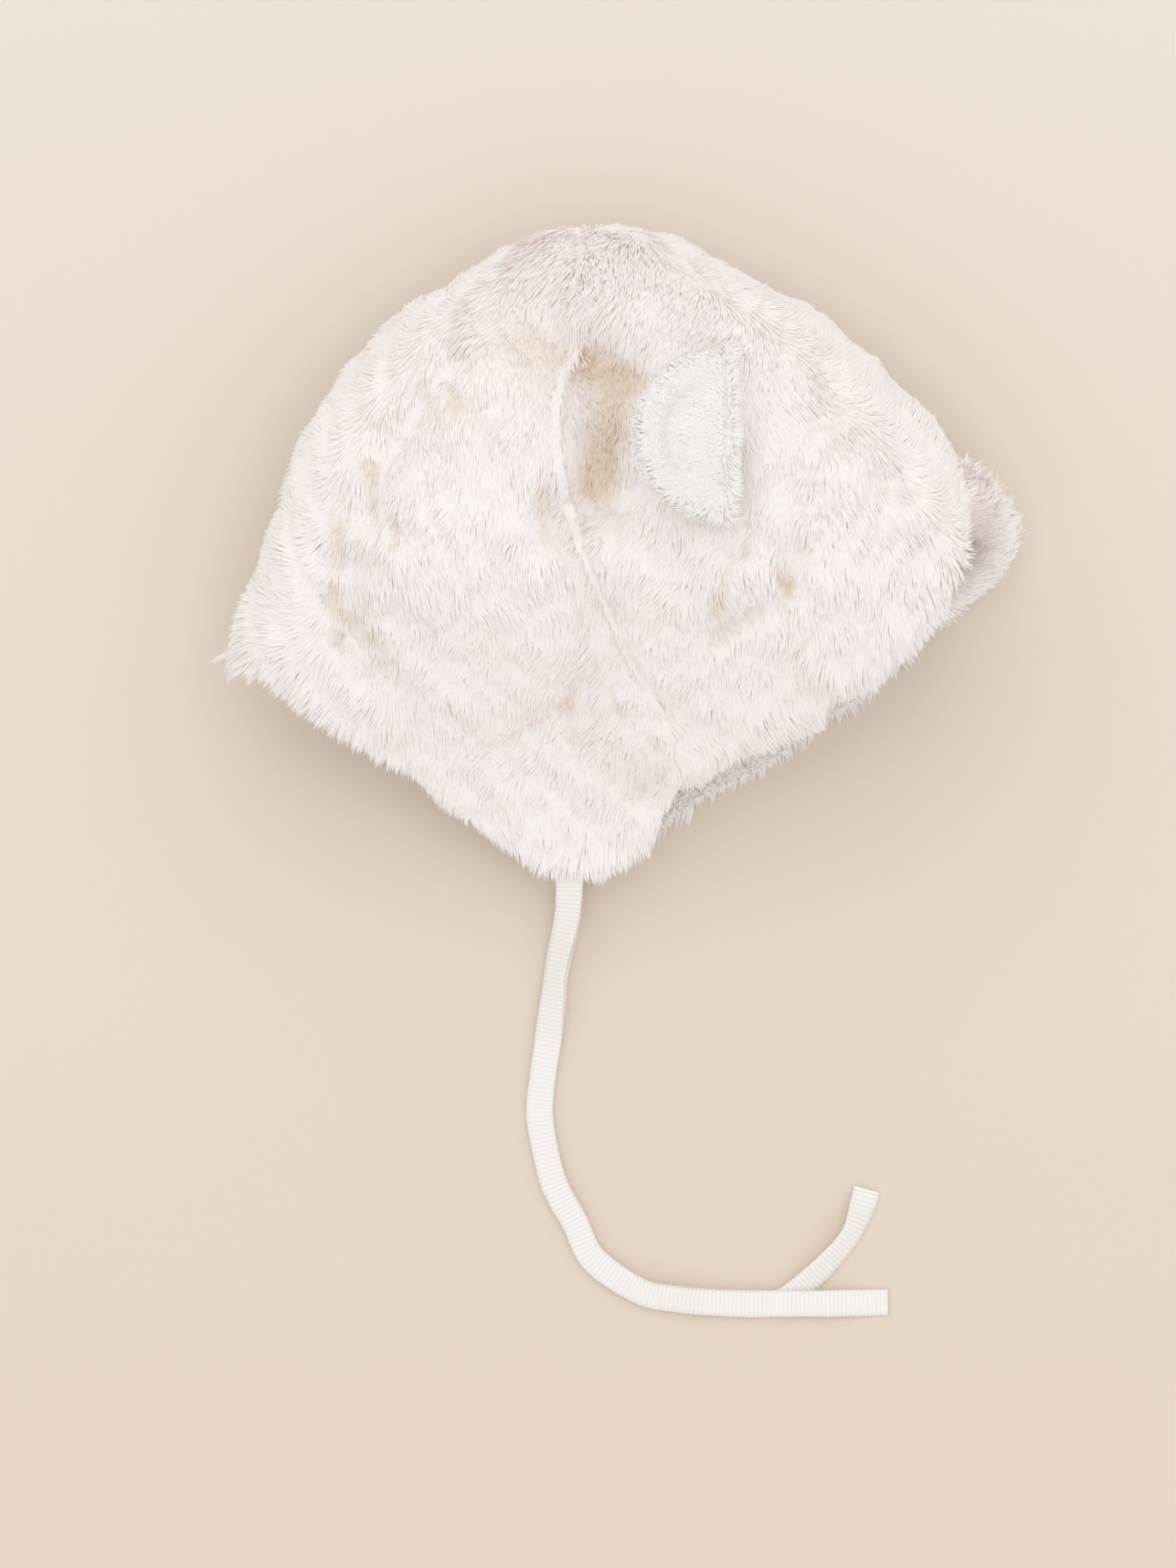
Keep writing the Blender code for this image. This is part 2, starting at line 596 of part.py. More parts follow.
quarter = np.linspace(0.2, math.pi / 2, 400)
seam_candidates = {
    "near": backing("back", "near", quarter, 1.0),
    "far": backing("back", "far", quarter, 1.0),
}
near_y, near_z = rim_height("near", -wall * 0.5)
far_y, far_z = rim_height("far", wall * 0.5)
start_gap = 0.11 * tape_width
near_way = [(shared_way[0][0], (near_y - start_gap) / hat_height, 0.0)] + shared_way[1:] + near_end
far_way = [(shared_way[0][0], (far_y - start_gap) / hat_height, 0.0)] + shared_way[1:] + far_end
stack_height = tape_thickness + hair_gap


def near_stack(run):
    return stack_height * (1.0 - smoothstep((run - tie_part * hat_length) / (2 * tape_width)))


def far_stack(run):
    return 0.0 * run


tie_near, near_length = tape("tie_near", near_way, near_z, near_stack, near_drop, (0.90, 0.88, 0.85, 1.0))
tie_far, far_length = tape("tie_far", far_way, far_z, far_stack, far_drop, (0.88, 0.86, 0.83, 1.0))
print("tie lengths", round(near_length, 4), round(far_length, 4))
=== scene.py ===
# %% [markdown]
# # A newborn's bear bonnet, lying on its side
# A bonnet of cream teddy fur with ear flaps, round bear ears and two woven tape ties.
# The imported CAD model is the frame: it fixes every size and place, and this lesson dresses it.
# The order is camera and ties first, then cloth, undercoat, fur and ears, and at last the light.

# %% Load the frame
import math

import bpy
import mathutils
import numpy as np
from mathutils.bvhtree import BVHTree
from mathutils.kdtree import KDTree
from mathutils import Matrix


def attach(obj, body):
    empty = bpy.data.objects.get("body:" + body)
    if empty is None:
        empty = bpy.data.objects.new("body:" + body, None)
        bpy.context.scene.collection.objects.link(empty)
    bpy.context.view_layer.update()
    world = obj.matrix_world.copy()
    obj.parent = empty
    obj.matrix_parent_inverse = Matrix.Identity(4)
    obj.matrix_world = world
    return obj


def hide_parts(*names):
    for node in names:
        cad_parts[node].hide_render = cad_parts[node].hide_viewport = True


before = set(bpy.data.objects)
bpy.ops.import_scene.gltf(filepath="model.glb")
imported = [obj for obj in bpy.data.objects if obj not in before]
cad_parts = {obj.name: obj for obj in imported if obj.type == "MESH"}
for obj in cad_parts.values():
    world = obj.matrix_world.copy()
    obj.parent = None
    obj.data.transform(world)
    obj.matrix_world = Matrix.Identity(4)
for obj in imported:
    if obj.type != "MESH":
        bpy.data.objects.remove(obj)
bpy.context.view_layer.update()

# %% [markdown]
# ## Sizes and small helpers
# A maker keeps the few lengths that everything hangs on in one place. They are the frame's own,
# in metres, so each new piece lands where its solid is. They could be measured off the frame each
# time, but a table can be read and changed. The tables below them are shares of the length and
# the height, measured from the middle of the outline.

# %% Sizes
hat_length = 0.187
hat_height = 0.152
hat_size = np.array([hat_length, hat_height])
near_top = 0.067
mid_level = 0.029
flap_level = 0.018
wall = 0.003
pile = 0.0085
lock_angle = math.radians(34.0)
ear_width = 0.039
ear_height = 0.029
folded_ear = 0.0058
clearance = 0.0006
tape_width = 0.0063
tape_thickness = 0.0007
roundness = 0.80
crown_reach = 0.048
face_sink = 0.20
right_angle = math.pi / 2
rng = np.random.default_rng(11)
print("hat in plan", (hat_size * 1000).tolist(), "mm")

# %% Outlines, cut edges and seam
# columns: along, up
crown_back = [
    (-0.042, 0.500), (-0.111, 0.478), (-0.194, 0.438), (-0.264, 0.387),
    (-0.319, 0.328), (-0.368, 0.260), (-0.416, 0.175), (-0.445, 0.072),
    (-0.466, 0.003), (-0.486, -0.088), (-0.502, -0.148),
]
crown_face = [
    (-0.042, 0.500), (0.035, 0.493), (0.110, 0.463), (0.207, 0.404),
    (0.276, 0.353), (0.339, 0.285), (0.394, 0.218), (0.425, 0.170), (0.458, 0.092),
]
# columns: upper side along, up, lower side along, up
neck_rim = [
    (-0.502, -0.148, -0.502, -0.148), (-0.416, -0.228, -0.414, -0.226),
    (-0.300, -0.322, -0.300, -0.322), (-0.190, -0.428, -0.188, -0.426),
    (-0.100, -0.488, -0.098, -0.486), (-0.030, -0.494, -0.026, -0.492),
    (0.030, -0.456, 0.046, -0.452), (0.086, -0.362, 0.110, -0.400),
]
face_rim = [
    (0.458, 0.092, 0.458, 0.092), (0.446, 0.040, 0.502, 0.034),
    (0.432, -0.020, 0.500, -0.010), (0.408, -0.098, 0.446, -0.074),
    (0.338, -0.186, 0.356, -0.198), (0.254, -0.244, 0.276, -0.272),
    (0.166, -0.296, 0.200, -0.344), (0.086, -0.362, 0.110, -0.400),
]
seam_line = [
    (-0.042, 0.500, -0.042, 0.500), (-0.060, 0.390, -0.058, 0.376),
    (-0.090, 0.291, -0.075, 0.249), (-0.101, 0.213, -0.079, 0.121),
    (-0.099, 0.133, -0.063, -0.020), (-0.083, 0.073, -0.029, -0.161),
    (-0.074, 0.008, 0.014, -0.260), (-0.042, -0.088, 0.040, -0.310),
    (0.005, -0.175, 0.066, -0.345), (0.052, -0.260, 0.090, -0.375),
    (0.086, -0.362, 0.110, -0.400),
]
# columns: start along, up, end along, up, reach, depth, the last two as shares of hat_length
folds = [
    (-0.208, 0.291, -0.277, 0.192, 0.030, 0.016), (-0.289, 0.150, -0.318, 0.065, 0.030, 0.015),
    (-0.341, -0.020, -0.352, -0.119, 0.030, 0.016), (-0.347, -0.133, -0.289, -0.196, 0.026, 0.012),
    (-0.029, 0.291, -0.017, 0.107, 0.052, 0.050), (-0.104, 0.362, -0.046, 0.291, 0.045, 0.020),
    (-0.088, 0.065, 0.012, -0.182, 0.022, 0.014), (0.139, 0.143, 0.156, 0.008, 0.024, 0.014),
    (0.220, 0.008, 0.210, -0.041, 0.024, 0.018), (0.173, -0.076, 0.116, -0.112, 0.024, 0.014),
    (0.243, 0.291, 0.260, 0.220, 0.024, 0.012), (0.336, 0.114, 0.341, 0.086, 0.026, 0.016),
    (-0.009, -0.182, 0.000, -0.239, 0.022, 0.010), (-0.012, -0.295, 0.023, -0.345, 0.024, 0.014),
    (-0.066, -0.195, -0.062, -0.294, 0.020, 0.008), (-0.149, -0.301, -0.094, -0.229, 0.020, 0.007),
]
ear_foot = (0.136, 0.178)
folded_foot = (0.120, 0.170)
# columns: along, up, roll in turns of a right angle
shared_way = [
    (-0.064, -0.505, 0.10), (-0.066, -0.560, 0.20), (-0.078, -0.640, 0.42), (-0.085, -0.700, 0.30),
    (-0.092, -0.760, 0.08), (-0.099, -0.815, 0.02), (-0.103, -0.870, 0.02), (-0.096, -0.927, 0.05),
    (-0.083, -0.985, 0.10), (-0.058, -1.042, 0.10), (-0.034, -1.100, 0.05), (0.024, -1.148, 0.20),
    (0.070, -1.160, 0.25), (0.116, -1.166, 0.15), (0.162, -1.168, 0.15), (0.200, -1.168, 0.10),
]
near_end = [(0.250, -1.168, 0.10), (0.300, -1.168, 0.05), (0.340, -1.167, 0.02)]
far_end = [
    (0.222, -1.152, 0.12), (0.256, -1.114, 0.35), (0.284, -1.076, 0.45), (0.298, -1.048, 0.40),
    (0.308, -1.012, 0.15), (0.313, -0.990, 0.05),
]

# %% Curve helpers


def smoothstep(x):
    x = np.clip(x, 0.0, 1.0)
    return x * x * (3.0 - 2.0 * x)


def unit(v):
    return v / np.maximum(np.linalg.norm(v, axis=-1, keepdims=True), 1e-12)


def flat(v, normal, share=1.0):
    """Takes the part along the normal out of each vector."""
    return v - share * (v * normal).sum(1, keepdims=True) * normal


def steps_of(points):
    return np.linalg.norm(np.diff(points, axis=0), axis=1)


def added(steps):
    return np.concatenate([[0.0], np.cumsum(steps)])


def scaled(rows, first=0):
    """Table rows as metres in plan, drawn in by the fur's stand-off."""
    points = np.array(rows)[:, first:first + 2] * hat_size
    reach = np.linalg.norm(points, axis=1, keepdims=True)
    return points * (1.0 - pile * math.sin(lock_angle) * 1.15 / reach)


def curve(points, samples=240):
    """A smooth run through the points, evenly spaced by length."""
    points = np.asarray(points, float)
    knots = np.vstack([2 * points[0] - points[1], points, 2 * points[-1] - points[-2]])
    fine = []
    for i in range(1, len(knots) - 2):
        p0, p1, p2, p3 = knots[i - 1:i + 3]
        for u in np.linspace(0.0, 1.0, 16, endpoint=False):
            fine.append(0.5 * (2 * p1 + (p2 - p0) * u + (2 * p0 - 5 * p1 + 4 * p2 - p3) * u ** 2
                               + (3 * p1 - p0 - 3 * p2 + p3) * u ** 3))
    fine = np.array(fine + [points[-1]])
    run = added(steps_of(fine))
    evenly = np.linspace(0.0, run[-1], samples)
    return np.stack([np.interp(evenly, run, fine[:, k]) for k in range(fine.shape[1])], axis=1)


def at(line, share):
    where = np.clip(np.asarray(share, float), 0.0, 1.0) * (len(line) - 1)
    steps = np.arange(len(line))
    return np.stack([np.interp(where, steps, line[:, k]) for k in range(line.shape[1])], axis=-1)


def off_line(xy, row):
    """How far each point lies off a table row's line, along and up."""
    start, end = np.array(row[:2]) * hat_size, np.array(row[2:4]) * hat_size
    run = end - start
    share = np.clip(((xy - start) @ run) / (run @ run), 0.0, 1.0)
    return xy - start - share[..., None] * run


# %% [markdown]
# ## The bonnet's surface as one function
# Each half of the bonnet, back and face, is a patch between four lines: the crown fold, the crown
# seam, and the cut edge of the upper and of the lower side. A point on it is named by an angle
# round the bonnet's section and by rho, the share of the way from crown to edge. The frame's own
# mesh could be sampled instead, but it is coarse. The same rule made the solids, so cloth and fur
# that follow it lie exactly on the frame, and are smooth.

# %% The four lines of each half
crown = {"back": curve(scaled(crown_back)), "face": curve(scaled(crown_face))}
rim = {(section, side): curve(scaled(rows, first))
       for section, rows in (("back", neck_rim), ("face", face_rim))
       for side, first in (("near", 0), ("far", 2))}
seam = {"near": curve(scaled(seam_line)), "far": curve(scaled(seam_line, 2))}
foot = np.array(ear_foot) * hat_size
far_foot = np.array(folded_foot) * hat_size
plan_length = steps_of(seam["near"]).sum()
print("upper seam in plan", round(float(plan_length) * 1000, 1), "mm")

# %% The crown's climb and the folds


def spread_of_fold():
    """Shares of the seam's plan against shares of its true length, which climbs steeply first."""
    share = np.linspace(0.0, 1.0, 400)
    reach = np.clip(share * plan_length / crown_reach, 0.0, 1.0)
    rise = (near_top - mid_level) * np.sqrt(1.0 - (1.0 - reach) ** 2)
    run = added(np.hypot(np.diff(share) * plan_length, np.diff(rise)))
    return share, run / run[-1]


fold_share = spread_of_fold()


def near_folds(xy):
    """Each fold's reach and depth, and how near the points are to it: 1 on its line."""
    for row in folds:
        far = np.linalg.norm(off_line(xy, row), axis=-1) / (row[4] * hat_length)
        yield row[4], row[5], np.exp(-far ** 2)


def dents(xy):
    return sum(deep * hat_length * near for _, deep, near in near_folds(xy))


def tightness(xy):
    """How sharply the folds bend the cloth, as one over the radius at their bottom."""
    return sum(2.0 * deep / (reach ** 2 * hat_length) * near for reach, deep, near in near_folds(xy))


print("deepest fold", round(max(row[5] for row in folds) * hat_length * 1000, 1), "mm")

# %% Surface of the fabric


def backing(section, side, angle, rho):
    """The fabric's outer face: angle 0 on the crown fold to a right angle on the seam, rho 0 on the crown."""
    angle, rho = np.broadcast_arrays(np.asarray(angle, float), np.asarray(rho, float))
    across = 1.0 - np.cos(angle) ** roundness
    rise = np.sin(angle) ** roundness
    fold = at(crown[section], np.interp(rho, *fold_share))
    seam_at, edge = at(seam[side], rho), at(rim[section, side], across)
    a = across[..., None]
    ends = (1 - a) * crown[section][-1] + a * seam[side][-1]
    xy = (1 - a) * fold + a * seam_at + rho[..., None] * (edge - ends)
    reach = np.clip(rho * plan_length / crown_reach, 0.0, 1.0)
    dome = np.sqrt(1.0 - (1.0 - reach) ** 2)
    if side == "near":
        full = dome * (1.0 - face_sink * smoothstep((rho - 0.5) / 0.5))
        z = mid_level + (near_top - mid_level) * rise * full
        sag = smoothstep((-0.02 - xy[..., 1] / hat_height) / 0.46) * smoothstep(rise / 0.9)
        z = z * (1.0 - sag) + flap_level * sag
        z = z - dents(xy) * smoothstep(rise / 0.8)
    else:
        down = np.sin(angle) ** (roundness * 0.75) * np.clip(dome * 1.25, 0.0, 1.0)
        z = mid_level * (1.0 - np.clip(1.12 * down, 0.0, 1.0))
        off = (xy - far_foot + np.array([0.46 * ear_height, 0.0])) / np.array([ear_height, ear_width]) * 1.7
        lift = smoothstep((1.95 - np.linalg.norm(off, axis=-1)) / 0.7)
        z = np.maximum(z, (folded_ear + clearance * 1.5) * lift)
    return np.concatenate([xy, z[..., None]], axis=-1)


# %% Slopes of the surface


def slopes(section, side, angle, rho, small=0.004):
    """The surface's normal, its run from crown to edge and its run away from the fold, at many points."""
    a0, a1 = (np.clip(angle + step, 0.001, right_angle) for step in (-small, small))
    r0, r1 = (np.clip(rho + step, 0.0, 1.0) for step in (-small, small))
    round_it = backing(section, side, a1, rho) - backing(section, side, a0, rho)
    down_it = backing(section, side, angle, r1) - backing(section, side, angle, r0)
    outwards = 1.0 if (section == "back") != (side == "near") else -1.0
    return unit(np.cross(round_it, down_it)) * outwards, unit(down_it), unit(round_it)


test_normal, _, _ = slopes("back", "near", np.array([1.2]), np.array([0.5]))
print("upper side's normal at the middle", test_normal.round(2).tolist())

# %% [markdown]
# ## Camera
# The photograph looks straight down at a flat lay. The camera hangs 4 m up, so that the hat's own
# height hardly widens it, and its lens is worked out from the width of the bonnet in the
# photograph: 865 of 1287 pixels for 187 mm. Moving the camera by eye could match the picture too,
# but a worked-out lens makes each pixel a known length.

# %% Camera
photo_wide, photo_high = 1287, 1716
origin_in_photo = (679.5, 606.0)
metres_per_pixel = 0.2155e-3
camera_height = 4.00
camera_data = bpy.data.cameras.new("photo_camera")
camera = bpy.data.objects.new("photo_camera", camera_data)
bpy.context.scene.collection.objects.link(camera)
camera.location = ((photo_wide / 2 - origin_in_photo[0]) * metres_per_pixel,
                   (origin_in_photo[1] - photo_high / 2) * metres_per_pixel, camera_height)
camera_data.sensor_fit = "VERTICAL"
camera_data.sensor_height = 36.0
camera_data.lens = 36.0 * (camera_height - mid_level) / (photo_high * metres_per_pixel)
camera_data.clip_end = 20.0
bpy.context.scene.camera = camera
print("camera at", [round(x, 4) for x in camera.location], "lens", round(camera_data.lens, 1))

# %% [markdown]
# ## One way to make a piece
# Nearly every piece here is a mesh from arrays of places and faces, which is quick for thousands
# of hairs. Building them with modelling operators could make the same meshes, but far more
# slowly. One helper also ties each piece to the frame: it rides the only body, replaces its
# solid, and later takes the material of its finish.

# %% Mesh helper
slot_of = {"knit_backing": "teddy_fur", "teddy_pile": "teddy_fur", "ear_cloth": "ear_fur",
           "ear_plush": "ear_fur", "cotton_tape": "woven_tape"}
dressed = {finish: [] for finish in slot_of}
node_of = {"back": "back_section", "face": "front_section"}


def triangles(piece):
    return len(piece.data.loops) - 2 * len(piece.data.polygons)


def belong(piece, node, finish):
    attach(piece, "root")
    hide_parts(node)
    dressed[finish].append(piece)
    print(piece.name, "triangles", triangles(piece))


def new_piece(name, node, finish, vertices, faces, uv=None, smooth=True):
    """A mesh object from arrays: each table in faces has a row for a face and a column for a corner."""
    corners = np.concatenate([face.ravel() for face in faces])
    sizes = np.concatenate([np.full(len(face), face.shape[1]) for face in faces])
    mesh = bpy.data.meshes.new(name)
    mesh.vertices.add(len(vertices))
    mesh.vertices.foreach_set("co", np.asarray(vertices, np.float32).ravel())
    mesh.loops.add(len(corners))
    mesh.loops.foreach_set("vertex_index", corners.astype(np.int32))
    mesh.polygons.add(len(sizes))
    mesh.polygons.foreach_set("loop_start", (np.cumsum(sizes) - sizes).astype(np.int32))
    mesh.update(calc_edges=True)
    if uv is not None:
        layer = mesh.uv_layers.new(name="OFBake", do_init=False)
        layer.uv.foreach_set("vector", np.asarray(uv, np.float32).ravel())
    if smooth:
        mesh.shade_smooth()
    else:
        mesh.shade_flat()
    piece = bpy.data.objects.new(name, mesh)
    bpy.context.scene.collection.objects.link(piece)
    belong(piece, node, finish)
    return piece


def apply(piece, modifier):
    """Makes a modifier's result the mesh itself."""
    bpy.ops.object.select_all(action="DESELECT")
    piece.select_set(True)
    bpy.context.view_layer.objects.active = piece
    bpy.ops.object.modifier_apply(modifier=modifier.name)


# %% [markdown]
# ## Woven tape ties
# Each tie is a flat cotton tape, 6.3 mm wide, that leaves a flap's tip and lies on the floor.
# A curve object with a bevel could make it, but a tape rolls a little about its own length, so
# its rings are placed in code: twelve points round a flat section, turned by the roll in the
# table. Its thickness rises and falls over four rings, which makes the cross ribs of the weave.
# The far tie lies on the floor, and the near one on top of it until they part.

# %% Where the ties leave the flaps
tie_part = 0.84
hair_gap = 0.0004
start_gap = 0.11 * tape_width
near_drop, far_drop = 0.030, 0.012
tie_x = shared_way[0][0] * hat_length


def rim_place(side, inside):
    edge = backing("back", side, np.linspace(0.2, right_angle, 400), 1.0)
    best = edge[int(np.argmin(np.abs(edge[:, 0] - tie_x)))]
    return best[1], best[2] + inside


near_start, far_start = rim_place("near", -wall * 0.5), rim_place("far", wall * 0.5)
print("ties leave the flaps at", np.round([near_start, far_start], 4).tolist())

# %% The tape's path
ring_pitch = 0.00026


def tape_path(start, end, stack, drop_length):
    """Each ring's middle, its ways across and up, and its run, from the flap down to the floor."""
    first = (shared_way[0][0], (start[0] - start_gap) / hat_height, 0.0)
    rows = np.array([first] + shared_way[1:] + end) * np.array([hat_length, hat_height, 1.0])
    line = curve(rows, round(steps_of(rows[:, :2]).sum() / ring_pitch))
    run = added(steps_of(line[:, :2]))
    roll = line[:, 2] * right_angle
    forward = unit(np.gradient(line[:, :2], axis=0))
    sideways = np.stack([-forward[:, 1], forward[:, 0]], axis=1)
    across = np.concatenate([sideways * np.cos(roll)[:, None], np.sin(roll)[:, None]], axis=1)
    up = np.concatenate([-sideways * np.sin(roll)[:, None], np.cos(roll)[:, None]], axis=1)
    rest = tape_width / 2 * np.abs(np.sin(roll)) + tape_thickness / 2 * np.cos(roll) + hair_gap / 4
    lift = stack * (1.0 - smoothstep((run - tie_part * hat_length) / (2 * tape_width)))
    share = smoothstep(1.0 - run / drop_length)
    centre = np.concatenate([line[:, :2], rest[:, None]], axis=1) + up * lift[:, None]
    centre[:, 2] = centre[:, 2] * (1.0 - share) + start[1] * share
    return centre, across, up, run


near_path = tape_path(near_start, near_end, tape_thickness + hair_gap, near_drop)
far_path = tape_path(far_start, far_end, 0.0, far_drop)
print("rings", len(near_path[0]), len(far_path[0]))

# %% The tapes' meshes
rib_depth, edge_wave, fray = 0.16, 0.012, 0.015
# columns: across, thickness, as shares of half the width and half the thickness
tape_section = [
    (-1.00, 0.0), (-0.96, 0.62), (-0.50, 0.92), (0.00, 0.86), (0.50, 0.92), (0.96, 0.62),
    (1.00, 0.0), (0.96, -0.62), (0.50, -0.92), (0.00, -0.86), (-0.50, -0.92), (-0.96, -0.62),
]


def tape_piece(name, node, path):
    """One tie: its section carried along the path, with ribs, a slightly wavy edge and a soft cup."""
    centre, across, up, run = path
    half = tape_width / 2
    wave = np.cos(np.arange(len(run)) * right_angle)
    rib = 1.0 + rib_depth * wave
    edge = 1.0 + edge_wave * wave + fray * np.sin(run / 0.0031)
    cup = 0.10 * half * np.sin(run / 0.017)
    points = []
    for s, t in tape_section:
        middle = centre + across * (half * s * edge)[:, None]
        points.append(middle + up * (tape_thickness / 2 * t * rib + cup * (s * s - 0.5))[:, None])
    vertices = np.stack(points, axis=1)
    vertices[..., 2] = np.maximum(vertices[..., 2], hair_gap / 4)
    count, sides = len(run), len(tape_section)
    ids = np.arange(count * sides).reshape(count, sides)
    nxt = np.roll(ids, -1, axis=1)
    quads = np.stack([ids[:-1], ids[1:], nxt[1:], nxt[:-1]], axis=-1).reshape(-1, 4)
    faces = [quads, ids[:1], ids[-1:, ::-1]]
    where = np.stack(np.broadcast_arrays(np.arange(sides)[None] / sides, (run / run[-1])[:, None]), -1)
    uv = where.reshape(-1, 2)[np.concatenate([face.ravel() for face in faces])]
    last = np.arange(len(quads)) % sides == sides - 1
    uv[:4 * len(quads)].reshape(-1, 4, 2)[last, 2:, 0] = 1.0
    piece = new_piece(name, node, "cotton_tape", vertices.reshape(-1, 3), faces, uv)


tape_piece("tie_near_tape", "tie_near", near_path)
tape_piece("tie_far_tape", "tie_far", far_path)

# %% [markdown]
# ## The knitted backing
# Under the pile each half is a knitted cloth. Only its cut edge and its inside ever show, but it
# also carries the pile, so it is a true shell: one sheet from the upper seam, round the crown
# fold, to the lower seam, given its thickness by a Solidify modifier. Sculpting or a full cloth
# simulation could drape it, but both would leave the frame. The lower side is pressed flat, and
# is kept a hair above the floor, so that crushed pile fits under it.

# %% Cloth shells
pressed = 0.0013
cloth_thickness = 0.0016
crown_crowding = 1.15


def settle(points):
    """The lower side lies on its own crushed pile."""
    points = np.array(points)
    low = np.clip(1.0 - points[..., 2] / (4 * pressed), 0.0, 1.0)
    points[..., 2] += pressed * low ** 2
    return points


def sheet(section, rows, columns, near_weight=1.0):
    """Places on a grid: a turn of minus a right angle on the upper seam, 0 on the fold, plus on the lower."""
    shares = np.linspace(0.0, 1.0, rows + 1)[1:] ** crown_crowding
    turn = np.linspace(-right_angle, right_angle, 321)
    turns = []
    for share in shares:
        fine = np.vstack([backing(section, "near", -turn[:160], share),
                          backing(section, "far", turn[160:], share)])
        run = added(steps_of(fine) * np.where(turn[1:] <= 0.0, near_weight, 1.0))
        turns.append(np.interp(np.linspace(0.0, run[-1], columns + 1), run, turn))
    return np.array(turns), np.repeat(shares[:, None], columns + 1, axis=1)


def sheet_faces(rows, columns, section):
    """Fan at the crown and quads, with vertex 0 on the crown and the grid after it, and the way round it."""
    ids = 1 + np.arange(rows * (columns + 1)).reshape(rows, columns + 1)
    quads = np.stack([ids[:-1, :-1], ids[1:, :-1], ids[1:, 1:], ids[:-1, 1:]], axis=-1).reshape(-1, 4)
    fan = np.stack([np.zeros(columns, int), ids[0, :-1], ids[0, 1:]], axis=-1)
    round_it = np.concatenate([[0], ids[:, 0], ids[-1, 1:], ids[-2::-1, -1], [0]])
    if section == "back":
        return fan[:, ::-1], quads[:, ::-1], round_it[::-1]
    return fan, quads, round_it


def cloth_piece(name, section, rows=64, columns=84):
    turns, shares = sheet(section, rows, columns)
    near = backing(section, "near", np.maximum(-turns, 0.0), shares)
    far = backing(section, "far", np.maximum(turns, 0.0), shares)
    grid = settle(np.where((turns < 0.0)[..., None], near, far))
    vertices = np.vstack([[backing(section, "near", 0.0, 0.0)], grid.reshape(-1, 3)])
    fan, quads, _ = sheet_faces(rows, columns, section)
    piece = new_piece(name, node_of[section], "knit_backing", vertices, [fan, quads])
    solid = piece.modifiers.new("thickness", "SOLIDIFY")
    solid.thickness = cloth_thickness
    solid.offset = -1.0
    apply(piece, solid)
    piece.data.shade_smooth()
    print(name, "triangles with its thickness", triangles(piece))


cloth_piece("back_cloth", "back")
cloth_piece("front_cloth", "face")

# %% [markdown]
# ## How the pile lies
# Plush is a dense pile, 8 to 9 mm long, that is brushed one way, its nap, and parts along creases.
# Weight painting and combing by hand could set this, but the photo's few lines are quicker as
# tables: where hairs grow, the way they are brushed, and where they part. A parting shows brownish
# roots, and its darker tone is also painted shade, for the shade that falls in creases and in the
# hollow beside the ear.
# Smooth random values, sums of a few sine waves, vary all of it a little from place to place.
# In most smoothsteps below, the first number is where a change starts, and the second how wide
# it is.

# %% Where the hairs grow


def sample(section, side, count, weight, steps=240):
    """Places for hairs, spread evenly over the cloth and thinned by a weight of place and rho."""
    angles = np.linspace(0.0, right_angle, steps + 1)
    shares = np.linspace(0.0, 1.0, steps + 1)
    grid = backing(section, side, angles[:, None], shares[None, :])
    area = np.linalg.norm(np.cross(grid[1:, :-1] - grid[:-1, :-1], grid[:-1, 1:] - grid[:-1, :-1]), axis=-1)
    want = area * weight(grid[:-1, :-1], shares[None, :-1])
    pick = rng.choice(want.size, count, p=(want / want.sum()).ravel())
    i, j = np.divmod(pick, steps)
    angle = angles[i] + rng.random(count) * angles[1]
    share = shares[j] + rng.random(count) * shares[1]
    return np.clip(angle, 0.002, right_angle), np.clip(share, 0.002, 1.0)


def ripple(points, size, seed, waves=7):
    """A smooth random value from about -1 to 1 that changes over the given size."""
    own = np.random.default_rng(seed)
    total = np.zeros(len(points))
    for _ in range(waves):
        way = own.normal(size=3)
        way *= own.uniform(0.6, 1.5) / np.linalg.norm(way)
        total += np.sin(points @ way * (2 * math.pi / size) + own.uniform(0, 2 * math.pi))
    return total / math.sqrt(waves / 2) * 0.7


# %% Nap
corner_middle = np.array([0.365, -0.03]) * hat_size


def nap(points, side):
    """The way the pile is brushed in plan: down to the flaps, and below also outwards at the corner."""
    share = points[:, :2] / hat_size
    sideways = -0.16 + 0.50 * smoothstep((share[:, 0] - 0.02) / 0.40)
    down = unit(np.stack([sideways, -np.ones(len(points))], axis=1))
    out = unit(points[:, :2] - corner_middle)
    low = smoothstep((0.02 - share[:, 1]) / 0.10)[:, None]
    corner = smoothstep((share[:, 0] - 0.375) / 0.10)[:, None] * (1.0 if side == "far" else 0.15 + 0.85 * low)
    return np.column_stack([unit((1 - corner) * down + corner * out), np.zeros(len(points))])


def grow(section, side, angle, share):
    """Roots, normals and comb of hairs on the outside of the cloth."""
    root = backing(section, side, angle, share)
    normal, along, around = slopes(section, side, angle, share)
    over = smoothstep((0.75 - angle) / 0.40)[:, None]
    comb = flat(nap(root, side), normal) * (1.0 - over)
    comb = comb + (-1.0 if side == "near" else 1.0) * over * around
    corner = smoothstep((root[:, 0] / hat_length - 0.34) / 0.08)
    corner = corner * smoothstep((root[:, 1] / hat_height + 0.08) / 0.10) * (side == "near")
    hem = (smoothstep((share - 0.82) / 0.18) * (1.0 - corner))[:, None]
    comb = unit(comb + (0.45 + (0.8 * over if section == "back" else 0.0)) * hem * along)
    swirl = 0.34 * ripple(root, 0.032, 3) + 0.24 * ripple(root, 0.013, 4)
    comb = comb + swirl[:, None] * np.cross(normal, comb)
    return settle(root), normal, unit(flat(comb, normal))
